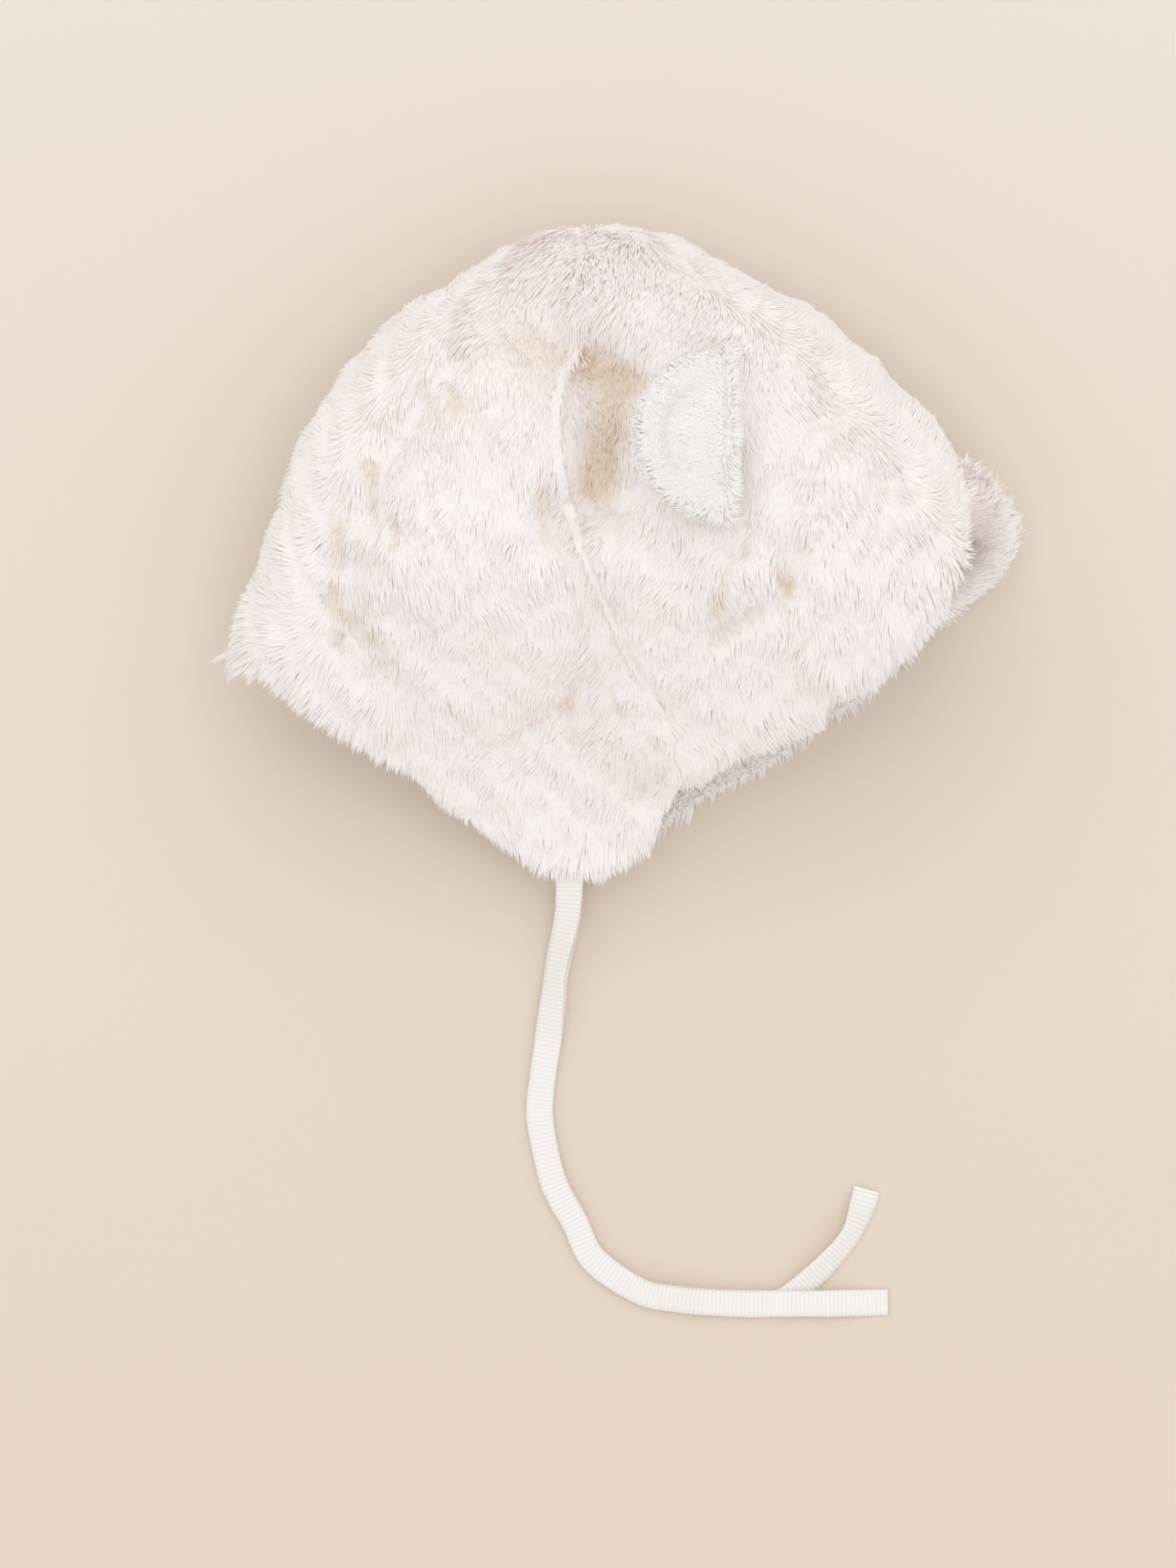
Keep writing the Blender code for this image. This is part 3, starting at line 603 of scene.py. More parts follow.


# %% Partings
# columns: start along, up, end along, up, reach as a share of hat_length, brownish roots and painted shade 0
# to 1, upright 0 to 1 the darkest row, 0.85, is painted shade in the hollow beside the near ear, under its
# rim
partings = [
    (-0.176, 0.350, -0.069, 0.290, 0.052, 0.42, 0.6), (-0.040, 0.300, -0.026, 0.075, 0.038, 0.45, 0.6),
    (0.006, 0.275, -0.030, 0.125, 0.026, 0.85, 0.5), (-0.040, 0.296, 0.018, 0.284, 0.018, 0.35, 0.5),
    (-0.312, 0.143, -0.300, 0.086, 0.012, 0.48, 0.4), (-0.340, 0.065, -0.360, -0.048, 0.012, 0.42, 0.4),
    (-0.360, -0.062, -0.300, -0.119, 0.014, 0.45, 0.4), (-0.276, 0.068, -0.272, 0.020, 0.007, 0.60, 0.0),
    (-0.242, 0.270, -0.221, 0.213, 0.010, 0.45, 0.4), (-0.205, 0.266, -0.202, 0.227, 0.009, 0.50, 0.3),
    (-0.277, -0.140, -0.306, -0.155, 0.009, 0.35, 0.3), (0.140, 0.129, 0.143, 0.051, 0.007, 0.35, 0.0),
    (0.143, 0.051, 0.158, 0.011, 0.006, 0.35, 0.0), (0.139, 0.008, 0.112, -0.069, 0.010, 0.55, 0.0),
    (0.191, -0.006, 0.211, -0.051, 0.014, 0.75, 0.2), (0.105, -0.124, 0.142, -0.105, 0.009, 0.60, 0.0),
    (-0.028, -0.069, 0.116, -0.069, 0.030, 0.30, 0.0), (0.342, 0.107, 0.345, 0.082, 0.016, 0.55, 0.5),
    (0.238, 0.284, 0.272, 0.192, 0.025, 0.30, 0.7), (-0.071, -0.220, -0.046, -0.172, 0.008, 0.45, 0.0),
    (-0.008, -0.182, 0.003, -0.229, 0.008, 0.55, 0.0), (-0.023, -0.288, 0.014, -0.352, 0.012, 0.45, 0.2),
    (0.042, -0.274, 0.065, -0.380, 0.010, 0.35, 0.0), (0.049, -0.229, 0.051, -0.237, 0.008, 0.40, 0.0),
    (-0.063, -0.225, -0.055, -0.281, 0.007, 0.30, 0.0), (-0.138, -0.274, -0.092, -0.234, 0.007, 0.25, 0.0),
    (-0.101, 0.121, -0.094, 0.008, 0.008, 0.35, 0.0), (0.359, -0.062, 0.382, -0.088, 0.021, 0.20, 0.3),
    (0.218, -0.133, 0.249, -0.079, 0.006, 0.30, 0.0), (-0.208, -0.373, -0.194, -0.404, 0.012, 0.35, 0.3),
    (-0.152, -0.342, -0.147, -0.356, 0.009, 0.35, 0.3),
]


def tree_of(points):
    """A tree that finds the nearest of the points quickly."""
    tree = KDTree(len(points))
    for number, point in enumerate(points):
        tree.insert(point, number)
    tree.balance()
    return tree


seam_tree = tree_of(settle(backing("back", "near", right_angle, np.linspace(0, 1, 400))))


def beside_seam(points, share):
    """1 in the low strip on both sides of the upper seam's ridge, and the way off the seam."""
    found = [seam_tree.find(p) for p in points]
    far = np.array([hit[2] for hit in found])
    off = (points - np.array([hit[0] for hit in found]))[:, :2]
    fade = smoothstep((share - 0.22) / 0.10) * smoothstep((0.90 - share) / 0.14)
    return np.exp(-((far - 0.0018) / 0.0011) ** 2) * fade, off / (far + 0.0004)[:, None]


def parted(points):
    """How dark the pile is at each root, from brownish roots and painted shade in creases and hollows, how
    upright it is, and the way it is pushed off the lines.
    """
    tan_and_shade, upright, push = np.zeros(len(points)), np.zeros(len(points)), np.zeros((len(points), 2))
    for row in partings:
        reach, tan_and_shade_here, upright_here = row[4:]
        off = off_line(points[:, :2], row)
        far = np.linalg.norm(off, axis=1)
        near = np.exp(-(far / (reach * hat_length)) ** 2)
        tan_and_shade += tan_and_shade_here * near
        upright += upright_here * near
        push += (1.0 - upright_here) * near[:, None] * off / (far + 0.0006)[:, None]
    return np.clip(tan_and_shade, 0.0, 1.0), np.clip(upright, 0.0, 1.0), push


# %% [markdown]
# ## The undercoat
# Real plush is so dense that light never reaches its backing: the gaps between hairs end in more
# hairs. Twenty times the hairs could show that, but not within a million triangles. A closed
# sheet 2 to 5 mm above the cloth stands for the inner pile. Hairs root in it and hug it, and the
# gaps between them stay shallow and light. It is lower along partings and beside the seam, and
# darker there, from brownish roots and from painted shade for the creases, the seam's low strip
# and the hollow beside the ear. It is thick over the crown, thin where the hat is pressed, and it
# hangs a little past the cloth's cut edge, because thick pile does.

# %% Height, tone and overhang of the undercoat
undercoat = 0.0026
tightest = 0.80


def overhang(section, side, angle, share):
    """How far the thick pile of the upper side carries a root out past the cut edge of the cloth."""
    _, along, _ = slopes(section, side, angle, share)
    if side == "far":
        return 0.0 * along
    place = backing(section, side, angle, share)[:, 0] / hat_length
    # in metres: along the neck and at the nape's tip, or along the face, before the flap and at the corner
    if section == "back":
        far = 0.0020 * smoothstep((place + 0.42) / 0.10) + 0.0042 * smoothstep((-0.44 - place) / 0.03)
    else:
        far = 0.0008 + 0.0044 * smoothstep((0.30 - place) / 0.10) * smoothstep((place - 0.05) / 0.07)
        far += 0.0028 * smoothstep((place - 0.375) / 0.045)
    return (far * smoothstep((share - 0.84) / 0.16))[:, None] * along


def coat(side, root, normal, angle, share):
    """The undercoat's height off the cloth and its tone: low in partings and beside the seam, darker there
    with brownish roots and painted shade, thin where pressed.
    """
    height = undercoat * (1.0 + 0.18 * ripple(root, 0.017, 8) + 0.10 * ripple(root, 0.007, 12))
    tan_and_shade, groove = np.zeros(len(root)), np.zeros(len(root))
    if side == "near":
        tan_and_shade, _, _ = parted(root)
        groove, _ = beside_seam(root, share)
        height *= 1.0 - 0.30 * tan_and_shade - 0.12 * groove
        height = height / (1.0 + height * tightness(root[:, :2]) / tightest)
    # thicker over the crown fold, most of all beside the seam, and round the crown's point
    folded = np.maximum(smoothstep(1.0 - angle / 1.1), smoothstep(1.0 - share / 0.14))
    on_top = smoothstep((root[:, 1] / hat_height - 0.05) / 0.30) * folded
    height += 0.0018 * on_top * (1.0 + 0.20 * ripple(root, 0.012, 13))
    height += 0.0012 * on_top * np.exp(-((root[:, 0] / hat_length + 0.11) / 0.05) ** 2)
    height += 0.0024 * smoothstep(1.0 - share / 0.15)
    # thin where the hat lies on it, and rounded off at the cut edge
    height *= 1.0 - 0.85 * smoothstep((-normal[:, 2] - 0.10) / 0.5)
    height *= np.sqrt(1.0 - 0.98 * np.clip((share - 0.93) / 0.07, 0.0, 1.0) ** 2)
    # the tone varies at random, and is lower in partings, for brownish roots and painted shade, and in the
    # seam's low strip, for painted shade
    tone = 0.66 + 0.06 * ripple(root, 0.034, 5) + 0.04 * ripple(root, 0.017, 8) - 0.50 * tan_and_shade - 0.10 * groove
    return height, tone


# %% The undercoat as a closed sheet
crown_way = unit(np.array([0.0, 1.0, 0.35]))
sheet_reach = 0.42
beds = {}


def sheet_map(tone, fans, quads, reach):
    """A closed sheet's map: tone across, reach up, with each face opened a little so that none is empty."""
    across = np.concatenate([np.tile([0.0, 0.003, 0.003], fans), np.tile([0.0, 0.003, 0.003, 0.0], quads)])
    up = np.concatenate([np.tile([0.0, 0.0, 0.04], fans), np.tile([0.0, 0.0, 0.04, 0.04], quads)])
    return np.stack([tone + across, reach + up], axis=-1)


def undercoat_piece(name, section, rows=112, columns=116):
    turns, shares = (table.ravel() for table in sheet(section, rows, columns, 2.4))
    below, above = np.zeros((len(turns), 3)), np.zeros((len(turns), 3))
    tone = np.zeros(len(turns))
    for side, pick in (("near", turns < 0.0), ("far", turns >= 0.0)):
        angle, share = np.clip(np.abs(turns[pick]), 0.002, right_angle), shares[pick]
        normal, _, _ = slopes(section, side, angle, share)
        root = settle(backing(section, side, angle, share))
        height, tone[pick] = coat(side, root, normal, angle, share)
        root = root + overhang(section, side, angle, share)
        by_seam = smoothstep(1.0 - share / 0.45) * smoothstep((angle - 0.7) / 0.8)
        normal = unit(normal * np.column_stack([1.0 - by_seam, np.ones((len(share), 2))]))
        on_crown = smoothstep(1.0 - share / 0.16)[:, None]
        normal = unit((1.0 - on_crown) * normal + on_crown * crown_way)
        below[pick], above[pick] = root - 0.0006 * normal, root + height[:, None] * normal
    outer, inner = (np.vstack([(layer[0] + layer[columns]) / 2, layer]) for layer in (above, below))
    vertices = np.vstack([outer, inner])
    vertices[:, 2] = np.maximum(vertices[:, 2], 0.0002)
    tone = np.concatenate([[tone[:columns + 1].mean()], tone])
    fan, quads, round_it = sheet_faces(rows, columns, section)
    under = len(outer)
    beds[section] = BVHTree.FromPolygons(outer.tolist(), fan.tolist() + quads.tolist())
    a, b = round_it[:-1], round_it[1:]
    sides = np.stack([b, a, a + under, b + under], axis=-1)
    quads = np.vstack([quads, quads[:, ::-1] + under, sides])
    fan = np.vstack([fan, fan[:, ::-1] + under])
    tone = np.concatenate([tone[fan % under], tone[quads % under]], axis=None) * 0.99
    new_piece(name, node_of[section], "teddy_pile", vertices, [fan, quads],
              sheet_map(tone, len(fan), len(quads), sheet_reach))


undercoat_piece("back_undercoat", "back")
undercoat_piece("front_undercoat", "face")

# %% How hairs meet the undercoat
bed_search = 0.006


def on_bed(section, root, normal, height):
    """Moves roots onto the undercoat, straight in from outside, and takes up its slope."""
    place_at, slope = root + normal * height[:, None], normal.copy()
    start = root + normal * (height + 0.0016)[:, None]
    for i, (p, n) in enumerate(zip(start, normal)):
        hit, face_normal, _, _ = beds[section].ray_cast(p, -n, bed_search)
        if hit is not None:
            place_at[i], slope[i] = hit, face_normal
    return place_at, unit(normal + slope * np.sign((slope * normal).sum(1, keepdims=True)))


def above_bed(section, points, normal, least):
    """Lifts the points that would sink into the undercoat."""
    points, ahead = points.copy(), bed_search / 2
    for i, (p, n) in enumerate(zip(points + ahead * normal, normal)):
        hit, _, _, far = beds[section].ray_cast(p, -n, 2 * ahead)
        if hit is not None and far < ahead + least:
            points[i] += (ahead + least - far) * n
    return points


# %% [markdown]
# ## The pile
# On the real hat these are soft fibres. Blender's hair curves could make them, but a reusable
# model needs real faces. Each hair is a bent blade, thin and closed, of four triangles, with its
# wide side turned outwards, so that the pile takes light the way a soft surface does. It rises
# only about five degrees off the undercoat, and neighbours are drawn together into locks. Tens of
# thousands are joined from arrays into a few meshes.

# %% How neighbours cling together


def gather(root, normal, comb, length, lift, per_lock, grip, spread, arch=0.35):
    """Hair middles and tips, with each hair drawn towards the lock that it belongs to."""
    count = len(root)
    tip = root + length[:, None] * (normal * np.sin(lift)[:, None] + comb * np.cos(lift)[:, None])
    steep = np.minimum(lift + arch, 1.45)
    middle = root + 0.52 * length[:, None] * (normal * np.sin(steep)[:, None] + comb * np.cos(steep)[:, None])
    for share, hold, wide in zip(per_lock, grip, spread):
        centres = rng.permutation(count)[:max(4, int(share * count))]
        tree = tree_of(root[centres])
        owner = centres[np.array([tree.find(p)[1] for p in root])]
        pull = (hold * rng.uniform(0.6, 1.0, count))[:, None]
        offset = root - root[owner]
        tip = tip + pull * (tip[owner] + wide * offset - tip)
        middle = middle + 0.40 * pull * (middle[owner] + 0.8 * offset - middle)
    return middle, tip, owner


# %% Hairs as meshes
most_hairs = 32000
hair_width, seam_width, hem_width, tuft_width = (
    (0.00034, 0.00052), (0.00034, 0.00050), (0.00040, 0.00060), (0.00036, 0.00052))
bright, soft_bright, tone_noise = 0.90, 0.88, 0.03
# the corners of a blade's four triangles: 0 at the root, 1 and 2 in the middle, 3 at the tip
blade = np.array([0, 2, 1, 3, 1, 2, 0, 1, 3, 0, 3, 2])
blade_reach = np.array([0.01, 0.5, 0.5, 0.99])[blade]
blade_across = np.array([0.5, 1.0, 0.0, 0.5, 0.0, 1.0, 0.3, 0.0, 0.5, 0.5, 0.7, 1.0])
floor_gap = 0.00012


def make_pile(name, node, finish, hairs, thick, tone):
    """Joins the blades into one mesh, or several where there are many, with tone and reach as their map."""
    parts = np.array_split(np.arange(len(tone)), math.ceil(len(tone) / most_hairs))
    for number, part in enumerate(parts):
        root, middle, tip, normal = (column[part] for column in hairs)
        way = unit(tip - root)
        across = unit(np.cross(way, normal)) + 0.10 * rng.normal(size=(len(part), 3))
        side = unit(flat(across, way)) * (thick[part] / 2)[:, None]
        vertices = np.stack([root, middle - side, middle + side, tip], axis=1).reshape(-1, 3)
        vertices[:, 2] = np.maximum(vertices[:, 2], floor_gap)
        faces = (np.arange(len(part))[:, None] * 4 + blade[None]).reshape(-1, 3)
        u = np.clip(tone[part], 0.0, 0.995)[:, None] + 0.004 * blade_across[None]
        uv = np.stack([u, np.broadcast_to(blade_reach[None], u.shape)], axis=-1)
        label = name if len(parts) == 1 else f"{name}_{number + 1}"
        new_piece(label, node, finish, vertices, [faces], uv.reshape(-1, 2), smooth=False)


# %% How high and how thick the fur lies
nap_lift = 4.8
flat_lift, stray_lift, upright_lift = np.radians([4.0, 8.0, 5.0])
stray_share = 0.07
root_depth = 0.00014
middle_gap, tip_gap = 0.00012, 0.00020
hang_of = {("back", "near"): 0.60, ("face", "near"): 0.60, ("back", "far"): 0.50, ("face", "far"): 0.10}


def even(points, share):
    return 1.0


def side_band(points, share):
    """More hairs on the rounded side, fewer where the cloth is pressed on the floor."""
    return np.where(points[..., 2] > 0.0012, 1.0, 0.22) + 0.9 * (share > 0.90)


# %% Fur of one side


def cover(name, section, side, count):
    """The fur of one side of one half: comb, length, lift and cling of every hair, then its mesh."""
    angle, share = sample(section, side, count, even if side == "near" else side_band)
    root, normal, comb = grow(section, side, angle, share)
    height, tone = coat(side, root, normal, angle, share)
    at_hem = smoothstep((share - 0.86) / 0.12)
    length = pile * rng.uniform(0.52, 0.74, count) * (1.0 + 0.10 * ripple(root, 0.017, 8))
    lift = np.radians(nap_lift + 0.8 * ripple(root, 0.015, 9) + rng.normal(0.0, 0.9, count))
    lift += stray_lift * (rng.random(count) < stray_share)
    cling = np.clip(0.16 + 0.12 * ripple(root, 0.021, 10), 0.03, 0.60)
    # pushed off the partings and the seam, shorter and more upright in them
    if side == "near":
        tan_and_shade, upright, push = parted(root)
        groove, off_seam = beside_seam(root, share)
        push = push + 0.8 * groove[:, None] * off_seam
        comb = unit(flat(comb + 0.35 * np.column_stack([push, np.zeros(count)]), normal))
        curl = rng.normal(size=(count, 3)) * upright[:, None] * 0.30
        comb = unit(comb + curl - (curl * normal).sum(1, keepdims=True) * normal)
        length *= 1.0 - 0.30 * tan_and_shade - 0.30 * groove
        lift = lift + upright_lift * upright
        cling = cling + 0.10 * upright
    root = root + overhang(section, side, angle, share)
    # flat under the hat, long and closed at the hem, and flatter on steep, uphill and smooth parts
    pressed_down = smoothstep((-normal[:, 2] - 0.30) / 0.5)
    lift = lift * (1.0 - pressed_down) + flat_lift * pressed_down
    length *= 1.0 + hang_of[section, side] * at_hem * rng.uniform(0.3, 1.0, count)
    cling = cling + 0.15 * at_hem
    lift *= 1.0 - 0.5 * at_hem
    steep = smoothstep((0.80 - normal[:, 2]) / 0.40) * (side == "near")
    lift *= 1.0 - 0.50 * steep
    cling *= 1.0 - 0.50 * steep
    uphill = smoothstep(comb[:, 2] / 0.35)
    lift = lift * (1.0 - uphill) + flat_lift * uphill
    band = smoothstep((-0.30 - root[:, 0] / hat_length) / 0.08) * (side == "near")
    cling = cling * (1.0 - 0.6 * band)
    lift *= 1.0 - 0.50 * band
    # painted shade: a lower tone on the left band, where the side turns away from the light
    tone -= 0.05 * band
    tone += rng.normal(0.0, 0.02, count)
    # rooted in the undercoat, drawn into locks and kept above it
    root, normal = on_bed(section, root, normal, height)
    comb = unit(flat(comb, normal))
    root = root - root_depth * normal
    middle, tip, owner = gather(root, normal, comb, length, lift, (0.16, 0.030),
                                (0.10 + 0.8 * cling, cling), (0.4, 0.6), 0.05)
    middle = above_bed(section, middle, normal, middle_gap)
    tip = above_bed(section, tip, normal, tip_gap)
    tone += rng.normal(0.0, 0.02, count)[owner]
    make_pile(name, node_of[section], "teddy_pile", (root, middle, tip, normal),
              rng.uniform(*hair_width, count), tone)


cover("back_upper_pile", "back", "near", 47000)
cover("front_upper_pile", "face", "near", 50000)
cover("back_lower_pile", "back", "far", 19000)
cover("front_lower_pile", "face", "far", 20000)

# %% [markdown]
# ## The seam's ridge
# Two pile cloths sewn together push their hairs up along the seam. On the upper side this shows
# as a narrow pale ridge, from beside the ear down towards the flap. A bump in the cloth could
# raise it, but would be as wide as the mesh is coarse, so its own hairs grow from the seam, stand
# steeper and lean along it. Over the crown they lie flatter and close the gap between the halves.

# %% Hairs along the seam


def seam_hairs(name, side, along_share):
    """Hairs on the seam: a narrow ridge beside the ear, a wider and flatter strip over the crown."""
    count = len(along_share)
    angle = np.full(count, right_angle)
    root = backing("back", side, angle, along_share)
    normal, run, _ = slopes("back", side, angle - 0.02, along_share)
    aside = np.cross(normal, run)
    on_crown = smoothstep((0.24 - along_share) / 0.06)
    width = rng.normal(0.0, 0.00030, count) * (1.0 + 3.5 * on_crown)
    fade = smoothstep((along_share - 0.20) / 0.10) * smoothstep((0.93 - along_share) / 0.15)
    height, _ = coat(side, root, normal, angle, along_share)
    by_pole = smoothstep(1.0 - along_share / 0.16)[:, None]
    upwards = unit(normal * np.array([0.0, 1.0, 1.0]) * (1.0 - by_pole) + by_pole * crown_way)
    normal = unit(normal * (1.0 - on_crown)[:, None] + upwards * on_crown[:, None])
    root = settle(root) + aside * width[:, None] + normal * (height - 0.0003)[:, None]
    comb = run + aside * (width / 0.0030)[:, None] + 0.06 * rng.normal(size=(count, 3))
    comb = unit(flat(comb, normal))
    length = pile * (0.42 + 0.12 * fade) * rng.uniform(0.88, 1.05, count)
    lift = np.radians(12.0 - 7.0 * on_crown + rng.normal(0.0, 1.5, count))
    middle, tip, _ = gather(root, normal, comb, length, lift, (0.10,), (0.35,), (0.45,), 0.20)
    make_pile(name, "back_section", "teddy_pile", (root, middle, tip, normal),
              rng.uniform(*seam_width, count), bright + rng.normal(0.0, tone_noise, count))


beside_ear, over_crown = rng.uniform(0.22, 0.93, 2900), rng.uniform(0.002, 0.22, 900)
seam_hairs("seam_pile", "near", np.concatenate([beside_ear, over_crown]))
seam_hairs("crown_pile", "far", rng.uniform(0.002, 0.30, 900))

# %% [markdown]
# ## The turned edge
# The cloth is turned in along every cut edge, so a narrow band of pile shows inside each flap.
# On the right it is what shows of the lower layer, past the edge of the upper one. Folding the
# mesh over would double the cloth, so hairs on the inside of the edge, combed outwards, do it.

# %% Pile inside the edges


def edge_pile(name, section, side, count):
    """Pile on the inside of a hem, which stands higher on the upper side."""
    def weight(points, rho):
        return rho > (0.86 if side == "far" else 0.90)

    angle, share = sample(section, side, count, weight)
    root, normal, comb = grow(section, side, angle, share)
    out = slopes(section, side, angle, share)[1]
    root = root - normal * (cloth_thickness - 0.0003) + overhang(section, side, angle, share)
    comb = unit(comb * 0.5 + unit(out))
    at_rim = smoothstep((share - 0.86) / 0.12)
    length = pile * rng.uniform(0.60, 0.80, count) * (0.9 - (0.30 * at_rim if side == "far" else 0.0))
    lift = np.radians((24.0 if side == "near" else 9.0) + rng.normal(0.0, 2.0, count))
    middle, tip, _ = gather(root, -normal, comb, length, lift, (0.05,), (0.35,), (0.5,))
    tone = soft_bright + rng.normal(0.0, tone_noise, count)
    make_pile(name, node_of[section], "teddy_pile", (root, middle, tip, -normal),
              rng.uniform(*hem_width, count), tone)


edge_pile("back_upper_hem", "back", "near", 2600)
edge_pile("back_lower_hem", "back", "far", 4200)
edge_pile("front_upper_hem", "face", "near", 3200)
edge_pile("front_lower_hem", "face", "far", 8000)

# %% [markdown]
# ## The rolled corner
# At the corner of the face the lower layer's turned edge rolls up, and stands out thick and
# bright past the upper one. The cloth's shell could be bent up there, but it would cross the
# inside of the upper side. A closed roll of undercoat along the edge, 6 mm across and higher than
# wide, takes its place, and is covered by short hairs that point outwards.

# %% The roll
roll_share, roll_lift = 0.975, 0.0088
roll_radius, roll_height = 0.0056, 1.65
roll_tone, roll_reach = 0.80, 0.60


def corner_roll(name, turns, around_it=20, steps=44):
    """The closed roll along the lower layer's edge, and its line, its ways out and up and its radius."""
    line = backing("face", "far", np.linspace(*turns, steps), roll_share) + np.array([0.0, 0.0, roll_lift])
    line = curve(line, steps)
    way = unit(np.gradient(line, axis=0))
    out = np.column_stack([unit(line[:, :2] - corner_middle), np.zeros(steps)])
    out = unit(flat(out, way))
    up = np.cross(way, out)
    up = up * np.sign(up[:, 2:] + 1e-9)
    along = np.linspace(0.0, 1.0, steps)
    radius = roll_radius * np.sqrt(np.clip(1.0 - (2.0 * along - 1.0) ** 4, 0.0, 1.0))
    radius = radius * (1.0 + 0.10 * np.sin(9.0 * along))
    turn = np.linspace(0.0, 2 * math.pi, around_it, endpoint=False)[None, :, None]
    spoke = out[:, None] * np.cos(turn) + roll_height * up[:, None] * np.sin(turn)
    ring = line[:, None] + radius[:, None, None] * spoke
    ring[..., 2] = np.maximum(ring[..., 2], 0.0004)
    ids = 1 + np.arange((steps - 2) * around_it).reshape(steps - 2, around_it)
    nxt = np.roll(ids, -1, axis=1)
    quads = np.stack([ids[:-1], nxt[:-1], nxt[1:], ids[1:]], axis=-1).reshape(-1, 4)
    fan = np.concatenate([np.stack([np.zeros(around_it, int), nxt[0], ids[0]], axis=-1),
                          np.stack([np.full(around_it, ids[-1, -1] + 1), ids[-1], nxt[-1]], axis=-1)])
    vertices = np.vstack([line[:1], ring[1:-1].reshape(-1, 3), line[-1:]])
    middle_face = vertices[quads[len(quads) // 2]]
    face_normal = np.cross(middle_face[1] - middle_face[0], middle_face[2] - middle_face[0])
    if face_normal @ (middle_face.mean(0) - line[steps // 2]) < 0:
        quads, fan = quads[:, ::-1], fan[:, ::-1]
    new_piece(name, "front_section", "teddy_pile", vertices, [fan, quads],
              sheet_map(roll_tone, len(fan), len(quads), roll_reach))
    return line, out, up, radius


line, out, up, radius = corner_roll("corner_roll", (0.0, 1.0))

# %% Hairs on the roll
tuft_count = 4600
place_on = rng.uniform(0.0, 1.0, tuft_count) * (len(line) - 1.001)
low, mix = place_on.astype(int), (place_on % 1.0)[:, None]
centre = line[low] * (1 - mix) + line[low + 1] * mix
radius = radius[low] * (1 - mix[:, 0]) + radius[low + 1] * mix[:, 0]
turn = rng.uniform(0.0, 2 * math.pi, tuft_count)[:, None]
spoke = out[low] * np.cos(turn) + roll_height * up[low] * np.sin(turn)
normal = unit(out[low] * np.cos(turn) + up[low] * np.sin(turn) / roll_height)
root = centre + (radius - 0.0002)[:, None] * spoke
outwards = np.column_stack([unit(centre[:, :2] - corner_middle), np.zeros(tuft_count)])
comb = unit(flat(outwards + 0.22 * rng.normal(size=(tuft_count, 3)), normal, 0.9))
length = pile * rng.uniform(0.45, 0.68, tuft_count)
lift = np.radians(5.0 + rng.normal(0.0, 1.5, tuft_count))
middle, tip, _ = gather(root, normal, comb, length, lift, (0.05,), (0.30,), (0.5,), 0.08)
make_pile("corner_tuft", "front_section", "teddy_pile", (root, middle, tip, normal),
          rng.uniform(*tuft_width, tuft_count), bright + rng.normal(0.0, 0.02, tuft_count))

# %% [markdown]
# ## Ears
# A bear ear is a stuffed half disc of the same plush. It starts as a sphere primitive, squashed
# and cut in half, and a short cloth simulation with inside pressure fills it like wadding would.
# Sculpting could do the same by hand, but pressure finds the soft shape by itself. A line of
# stitches round it, held still while it fills, leaves the groove inside its rolled rim. The other
# ear lies folded flat under the hat, so it is only pressed, and has no pile of its own.

# %% Stuffed half disc
ear_thickness = 0.0085
ear_lean = math.radians(36.0)
ear_bend = 0.0045
stitch_reach = 0.66
fill_frames = 14


def points_of(piece):
    points = np.empty(3 * len(piece.data.vertices), np.float32)
    piece.data.vertices.foreach_get("co", points)
    return points.reshape(-1, 3).astype(float)


def move_to(piece, points):
    piece.data.vertices.foreach_set("co", np.asarray(points, np.float32).ravel())
    piece.data.update()


def stuffed_ear(name, thickness):
    bpy.ops.mesh.primitive_uv_sphere_add(segments=64, ring_count=32, radius=1.0)
    piece = bpy.context.active_object
    piece.name = piece.data.name = name
    bpy.ops.object.mode_set(mode="EDIT")
    bpy.ops.mesh.select_all(action="SELECT")
    bpy.ops.transform.resize(value=(ear_width / 2, ear_height, thickness / 2))
    bpy.ops.mesh.bisect(plane_co=(0, 0.0004, 0), plane_no=(0, 1, 0), clear_inner=True, use_fill=True)
    bpy.ops.object.mode_set(mode="OBJECT")
    remesh = piece.modifiers.new("remesh", "REMESH")
    remesh.mode = "VOXEL"
    remesh.voxel_size = 0.0011
    apply(piece, remesh)
    points = points_of(piece)
    reach = np.hypot(points[:, 0] / (ear_width / 2), points[:, 1] / ear_height)
    middle_part = 1.0 - 0.7 * smoothstep((np.abs(points[:, 0]) / (ear_width / 2) - 0.30) / 0.35)
    groove = np.exp(-((reach - stitch_reach) / 0.11) ** 2) * (points[:, 2] > 0)
    groove = groove * smoothstep(points[:, 1] / 0.006) * middle_part
    points[:, 2] -= 0.42 * thickness * groove
    move_to(piece, points)
    held = piece.vertex_groups.new(name="held")
    held.add(np.nonzero((points[:, 1] < 0.0016) | (groove > 0.80))[0].tolist(), 1.0, "REPLACE")
    return piece, points


